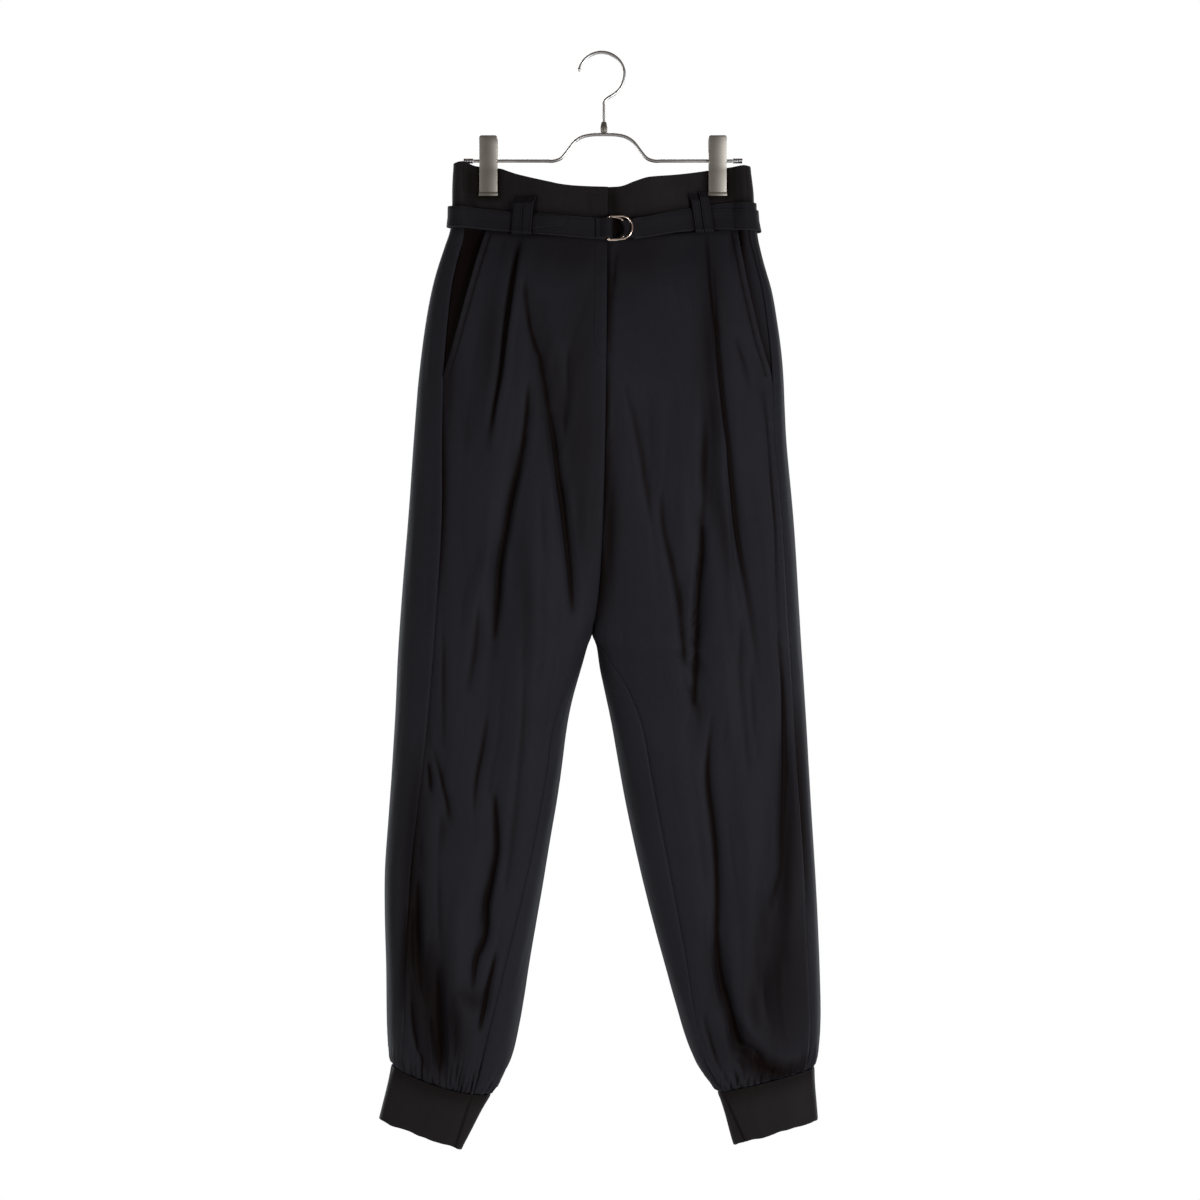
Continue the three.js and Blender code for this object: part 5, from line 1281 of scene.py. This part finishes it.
def metal(name, dark, bright, rough_from, rough_to, along=(260.0, 2600.0, 2600.0), bump=0.12):
    """A brushed metal between two tones and two roughnesses, with scratches along one direction."""
    made, tree, body = new_finish(name, {"Metallic": 1.0})
    place = node(tree, "ShaderNodeTexCoord").outputs["Object"]
    brushed = node(tree, "ShaderNodeGroup", {"Place": place, "Along": along}, node_tree=brushed_group)
    patches = brushed.outputs["Patches"]
    rough = node(tree, "ShaderNodeMapRange", {"Value": patches, "To Min": rough_from, "To Max": rough_to})
    tree.links.new(mixed(tree, dark, bright, patches), body.inputs["Base Color"])
    tree.links.new(rough.outputs["Result"], body.inputs["Roughness"])
    raise_from(tree, body, brushed.outputs["Scratches"], bump, 0.0001)
    return made


WIRE_NICKEL = metal("wire_nickel", (0.40, 0.385, 0.365), (0.52, 0.505, 0.485), 0.30, 0.42)
PLATE_NICKEL = metal("plate_nickel", (0.185, 0.166, 0.142), (0.215, 0.194, 0.168), 0.42, 0.48,
                     along=(2600.0, 2600.0, 220.0))
SPRING_STEEL = metal("spring_steel", (0.28, 0.27, 0.26), (0.46, 0.45, 0.44), 0.25, 0.45)
ROSE_BRONZE = metal("rose_bronze", (0.80, 0.62, 0.52), (0.94, 0.80, 0.70), 0.14, 0.30,
                    along=(900.0, 900.0, 900.0), bump=0.05)
print("metal finishes:", [m.name for m in (WIRE_NICKEL, PLATE_NICKEL, SPRING_STEEL, ROSE_BRONZE)])

# %% [markdown]
# ## Wires
#
# The hook, the bar, the springs and the rings are all wire bent on a former. A wire is drawn as a path of
# places on its middle line, made round with a curve's bevel, and turned into a mesh with closed ends. The
# hook is one arc and a straight stem; its tip carries a small rounded bead, so that it catches nothing.

# %% Hook, bar and rings
WIRE = 1.7 * MM
HOOK_X, HOOK_RADIUS, HOOK_BEAD, STEM_X = -1.5 * MM, 22.8 * MM, 2.1 * MM, 0.8 * MM
HOOK_TIP, HOOK_NECK = 166, -57  # degrees on the hook's arc
BEND_CORNER, BEND_END, STEM_FOOT = -46.6 * MM, -51.6 * MM, -78 * MM  # heights where the hook meets its stem
BAR_DROP, BAR_HALF = 107 * MM, 129.6 * MM


def wire(name, places, radius, finish, closed=False, roundness=4):
    """A round wire through places, as a closed mesh."""
    deselect()
    bpy.ops.curve.primitive_bezier_curve_add(location=(0, 0, 0))
    made = bpy.context.object
    made.name = name
    path = made.data
    path.splines.clear()
    path.dimensions = "3D"
    run = path.splines.new("POLY")
    run.points.add(len(places) - 1)
    for point, place in zip(run.points, places):
        point.co = (*place, 1)
    run.use_cyclic_u = closed
    path.bevel_depth, path.bevel_resolution, path.use_fill_caps = radius, roundness, not closed
    bpy.ops.object.convert(target="MESH")
    piece = bpy.context.object
    piece.name = name
    modified(piece, "weld", "WELD", merge_threshold=0.002 * MM)
    bpy.ops.object.shade_smooth_by_angle(angle=math.radians(50))
    piece.data.materials.clear()
    piece.data.materials.append(finish)
    return piece


def stands_for(piece, node_name):
    """Puts a finished piece of metal in a node's place."""
    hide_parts(node_name)
    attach(piece, "root")
    print(piece.name, len(piece.data.polygons), "faces")


def arc(centre, radius, start, end, steps):
    """Places on an arc in the upright plane of the hanger, from one angle in degrees to another."""
    turns = np.radians(np.linspace(start, end, steps))
    return [(centre[0] + radius * math.cos(t), 0, centre[1] + radius * math.sin(t)) for t in turns]


def bead(piece, place, radius):
    """Adds a rounded end to a wire's mesh."""
    own(piece)
    bpy.ops.object.mode_set(mode="EDIT")
    bpy.ops.mesh.select_all(action="DESELECT")
    bpy.ops.mesh.primitive_uv_sphere_add(segments=16, ring_count=8, radius=radius, location=place)
    bpy.ops.mesh.faces_shade_smooth()
    bpy.ops.object.mode_set(mode="OBJECT")


hook_centre = (HOOK_X, WIRE - HOOK_RADIUS)
hook_line = arc(hook_centre, HOOK_RADIUS, HOOK_TIP, HOOK_NECK, 90)
neck, corner, bend_end = Vector(hook_line[-1]), Vector((STEM_X, 0, BEND_CORNER)), Vector((STEM_X, 0, BEND_END))
bend_start = neck.lerp(corner, 0.6)
for t in np.linspace(0, 1, 12):
    place = bend_start * (1 - t) ** 2 + corner * 2 * t * (1 - t) + bend_end * t * t
    hook_line.append(tuple(place))
hook_line.append((STEM_X, 0, STEM_FOOT))
hook = wire("hanger_hook_wire", hook_line, WIRE, WIRE_NICKEL)
bead(hook, hook_line[0], HOOK_BEAD)
stands_for(hook, "hanger_hook")

ARCH = np.array([(0, 80.5), (13, 81), (22.5, 83.3), (30, 88.5), (36.5, 97), (42.5, 104), (50, 107), (58, 107)])
arch_out = np.linspace(0, ARCH[-1, 0], 40)  # the bar's rise in the middle: ARCH holds (out, drop)
arch_drop = smooth_curve(ARCH[:, 0], ARCH[:, 1], arch_out)
half = [(STEM_X + out * MM, 0, -drop * MM) for out, drop in zip(arch_out, arch_drop)]
mirrored = [(2 * STEM_X - x, y, z) for x, y, z in half[:0:-1]]
bar_line = [(-BAR_HALF, 0, -BAR_DROP), *mirrored, *half, (BAR_HALF, 0, -BAR_DROP)]
bar = wire("hanger_bar_wire", bar_line, WIRE, WIRE_NICKEL)
stands_for(bar, "hanger_bar")

RING_WIRE, RING_RADIUS, RING_BEND = 0.85 * MM, 11.8 * MM, 1.6 * MM
for name in ("ring_1", "ring_2"):
    solid = np.array([v.co[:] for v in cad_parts[name].data.vertices])
    flat = np.linalg.svd(solid - solid.mean(axis=0))[2][2]
    aside = unit(np.array([1.0, 0, 0]) - flat * flat[0])
    upward = np.cross(flat, aside)
    reach = solid @ aside
    level = (solid @ upward).min() / 2 + (solid @ upward).max() / 2
    bar_side, round_side = reach.min() + RING_WIRE, reach.max() - RING_WIRE - RING_RADIUS
    corner = RING_RADIUS - RING_BEND
    outline = [(round_side + RING_RADIUS * math.cos(t), RING_RADIUS * math.sin(t))
               for t in np.radians(np.linspace(-90, 90, 48))]
    for middle, start in ((corner, 90), (-corner, 180)):
        outline += [(bar_side + RING_BEND * (1 + math.cos(t)), middle + RING_BEND * math.sin(t))
                    for t in np.radians(np.linspace(start, start + 90, 8))]
    depth = float(solid.mean(axis=0) @ flat)
    places = [tuple(a * aside + (level + b) * upward + depth * flat) for a, b in outline]
    ring = wire(f"{name}_wire", places, RING_WIRE, ROSE_BRONZE, closed=True, roundness=5)
    stands_for(ring, name)

# %% [markdown]
# ## Turned pieces
#
# The ferrule grips the foot of the hook, and a ribbed cap closes each end of the bar. Both are round, so
# each starts as a disc that is extruded and resized step by step, as on a lathe, and its edges are broken
# with a small bevel.

# %% Ferrule and caps
def turned(name, steps, place, turn, finish, broken=0.15 * MM, sides=28):
    """A round piece: a disc, extruded along its axis through (distance, radius) steps in millimetres."""
    deselect()
    bpy.ops.mesh.primitive_circle_add(vertices=sides, radius=steps[0][1] * MM, fill_type="NGON", location=(0, 0, 0))
    piece = bpy.context.object
    piece.name = name
    bpy.ops.object.mode_set(mode="EDIT")
    bpy.ops.mesh.select_all(action="SELECT")
    for (a, r), (b, s) in zip(steps, steps[1:]):
        bpy.ops.mesh.extrude_region_move(TRANSFORM_OT_translate={"value": (0, 0, (b - a) * MM)})
        bpy.ops.transform.resize(value=(s / r, s / r, 1), center_override=(0, 0, b * MM))
    bpy.ops.mesh.select_all(action="SELECT")
    bpy.ops.mesh.normals_make_consistent(inside=False)
    bpy.ops.object.mode_set(mode="OBJECT")
    piece.rotation_euler, piece.location = turn, place
    bpy.ops.object.transform_apply(location=True, rotation=True, scale=True)
    break_edges(piece, broken, 35)
    bpy.ops.object.shade_smooth_by_angle(angle=math.radians(40))
    piece.data.materials.append(finish)
    return piece


ferrule = turned("hanger_ferrule_sleeve",
                 [(0, 3.2), (0.4, 3.6), (5.0, 3.6), (6.2, 3.3), (9.0, 2.75), (10.0, 2.6), (10.4, 2.2)],
                 (STEM_X, 0, -78.4 * MM), (0, 0, 0), PLATE_NICKEL)
stands_for(ferrule, "hanger_ferrule")

CAP_X = 129.9 * MM
CAP = [(0, 2.2), (0.3, 2.55)]  # (distance, radius): three grooves between two rounded ends
for groove in (2.0, 4.4, 6.8):
    CAP += [(groove, 2.55), (groove + 0.2, 2.35), (groove + 0.7, 2.35), (groove + 0.9, 2.55)]
CAP += [(9.2, 2.55), (9.6, 2.1)]
for side, sign in (("right", -1), ("left", 1)):
    cap = turned(f"bar_cap_{side}_ribbed", CAP, (sign * CAP_X, 0, -BAR_DROP), (0, sign * math.radians(90), 0),
                 SPRING_STEEL, broken=0.12 * MM)
    stands_for(cap, f"bar_cap_{side}")

# %% [markdown]
# ## Clips
#
# Each clip is two jaws of folded sheet metal on a coil spring that sits round the bar. A jaw is a strip: its
# cross-section is extruded up from the lip along the jaw's outline, the two upper corners are cut back, the
# lip is folded double at the foot, and two ears are folded in around the spring. The spring is wire, wound
# round the bar, with its two ends pressing on the jaws.

# %% Clips
JAW_WIDE, JAW_THICK, LIP_HIGH, CORNER_CUT = 18 * MM, 1.6 * MM, 3.6 * MM, 2.2 * MM
EAR, EAR_OUT, EAR_DROP = (0.9 * MM, 4.4 * MM, 11 * MM), 3.4 * MM, 104.4 * MM


def jaw(name, middle_x, facing, corner_steps):
    """One jaw of a clip. facing is -1 for the front one; more corner_steps make rounder corners."""
    deselect()
    start = Vector((middle_x, facing * JAW[0][0] * MM, -JAW[0][1] * MM))
    bpy.ops.mesh.primitive_plane_add(size=1, location=start)
    piece = bpy.context.object
    piece.name = name
    piece.scale = (JAW_WIDE, JAW_THICK, 1)
    bpy.ops.object.transform_apply(location=True, rotation=True, scale=True)
    bpy.ops.object.mode_set(mode="EDIT")
    bpy.ops.mesh.select_all(action="SELECT")
    for (deep, drop), (next_deep, next_drop) in zip(JAW, JAW[1:]):
        shift = (0, facing * (next_deep - deep) * MM, (drop - next_drop) * MM)
        bpy.ops.mesh.extrude_region_move(TRANSFORM_OT_translate={"value": shift})
    bpy.ops.mesh.select_all(action="DESELECT")
    bpy.ops.mesh.select_mode(type="EDGE")
    bm = bmesh.from_edit_mesh(piece.data)
    crown = max(v.co.z for v in bm.verts)
    for e in bm.edges:
        a, b = e.verts
        e.select = max(crown - a.co.z, crown - b.co.z, abs(a.co.x - b.co.x)) < 0.1 * MM
    bmesh.update_edit_mesh(piece.data)
    bpy.ops.mesh.bevel(offset=CORNER_CUT, segments=corner_steps, affect="EDGES")
    bpy.ops.mesh.select_all(action="DESELECT")
    lip = (middle_x, facing * (JAW[0][0] + 0.35) * MM, -JAW[0][1] * MM + LIP_HIGH / 2)
    bpy.ops.mesh.primitive_cube_add(size=1, location=lip)
    bpy.ops.transform.resize(value=(JAW_WIDE + 0.9 * MM, JAW_THICK + 0.7 * MM, LIP_HIGH), center_override=lip)
    for sign in (-1, 1):
        bpy.ops.mesh.select_all(action="DESELECT")
        ear = (middle_x + sign * (JAW_WIDE - EAR[0]) / 2, facing * EAR_OUT, -EAR_DROP)
        bpy.ops.mesh.primitive_cube_add(size=1, location=ear)
        bpy.ops.transform.resize(value=EAR, center_override=ear)
    bpy.ops.mesh.select_all(action="SELECT")
    bpy.ops.mesh.normals_make_consistent(inside=False)
    bpy.ops.object.mode_set(mode="OBJECT")
    break_edges(piece, 0.32 * MM, 40)
    bpy.ops.object.shade_smooth_by_angle(angle=math.radians(35))
    piece.data.materials.append(PLATE_NICKEL)
    return piece


SPRING = {"turns": 9, "radius": 3.25 * MM, "wire": 0.6 * MM, "length": 11.6 * MM}


def spring_places(middle_x):
    """A coil round the bar with both ends led off straight to the jaws."""
    steps, radius = SPRING["turns"] * 22, SPRING["radius"]
    turns = np.linspace(0, 2 * math.pi * SPRING["turns"], steps + 1)
    across = middle_x + SPRING["length"] * (np.arange(steps + 1) / steps - 0.5)
    coil = [(x, radius * math.sin(t), -BAR_DROP + radius * math.cos(t)) for x, t in zip(across, turns)]
    first, last = coil[0], coil[-1]
    start = [(first[0], -6.2 * MM * s, first[2] + 4 * MM * s) for s in (1, 0.5)]
    end = [(last[0], 6.2 * MM * s, last[2] + 4 * MM * s) for s in (0.5, 1)]
    return [*start, *coil, *end]


for side, sign, corner_steps in (("right", -1, 2), ("left", 1, 5)):
    middle_x = sign * CLIP_X * MM
    for face, facing in (("front", -1), ("back", 1)):
        stands_for(jaw(f"clip_{side}_{face}_jaw", middle_x, facing, corner_steps), f"clip_{side}_{face}")
    spring = wire(f"clip_{side}_spring_coil", spring_places(middle_x), SPRING["wire"], SPRING_STEEL, roundness=2)
    stands_for(spring, f"clip_{side}_spring")
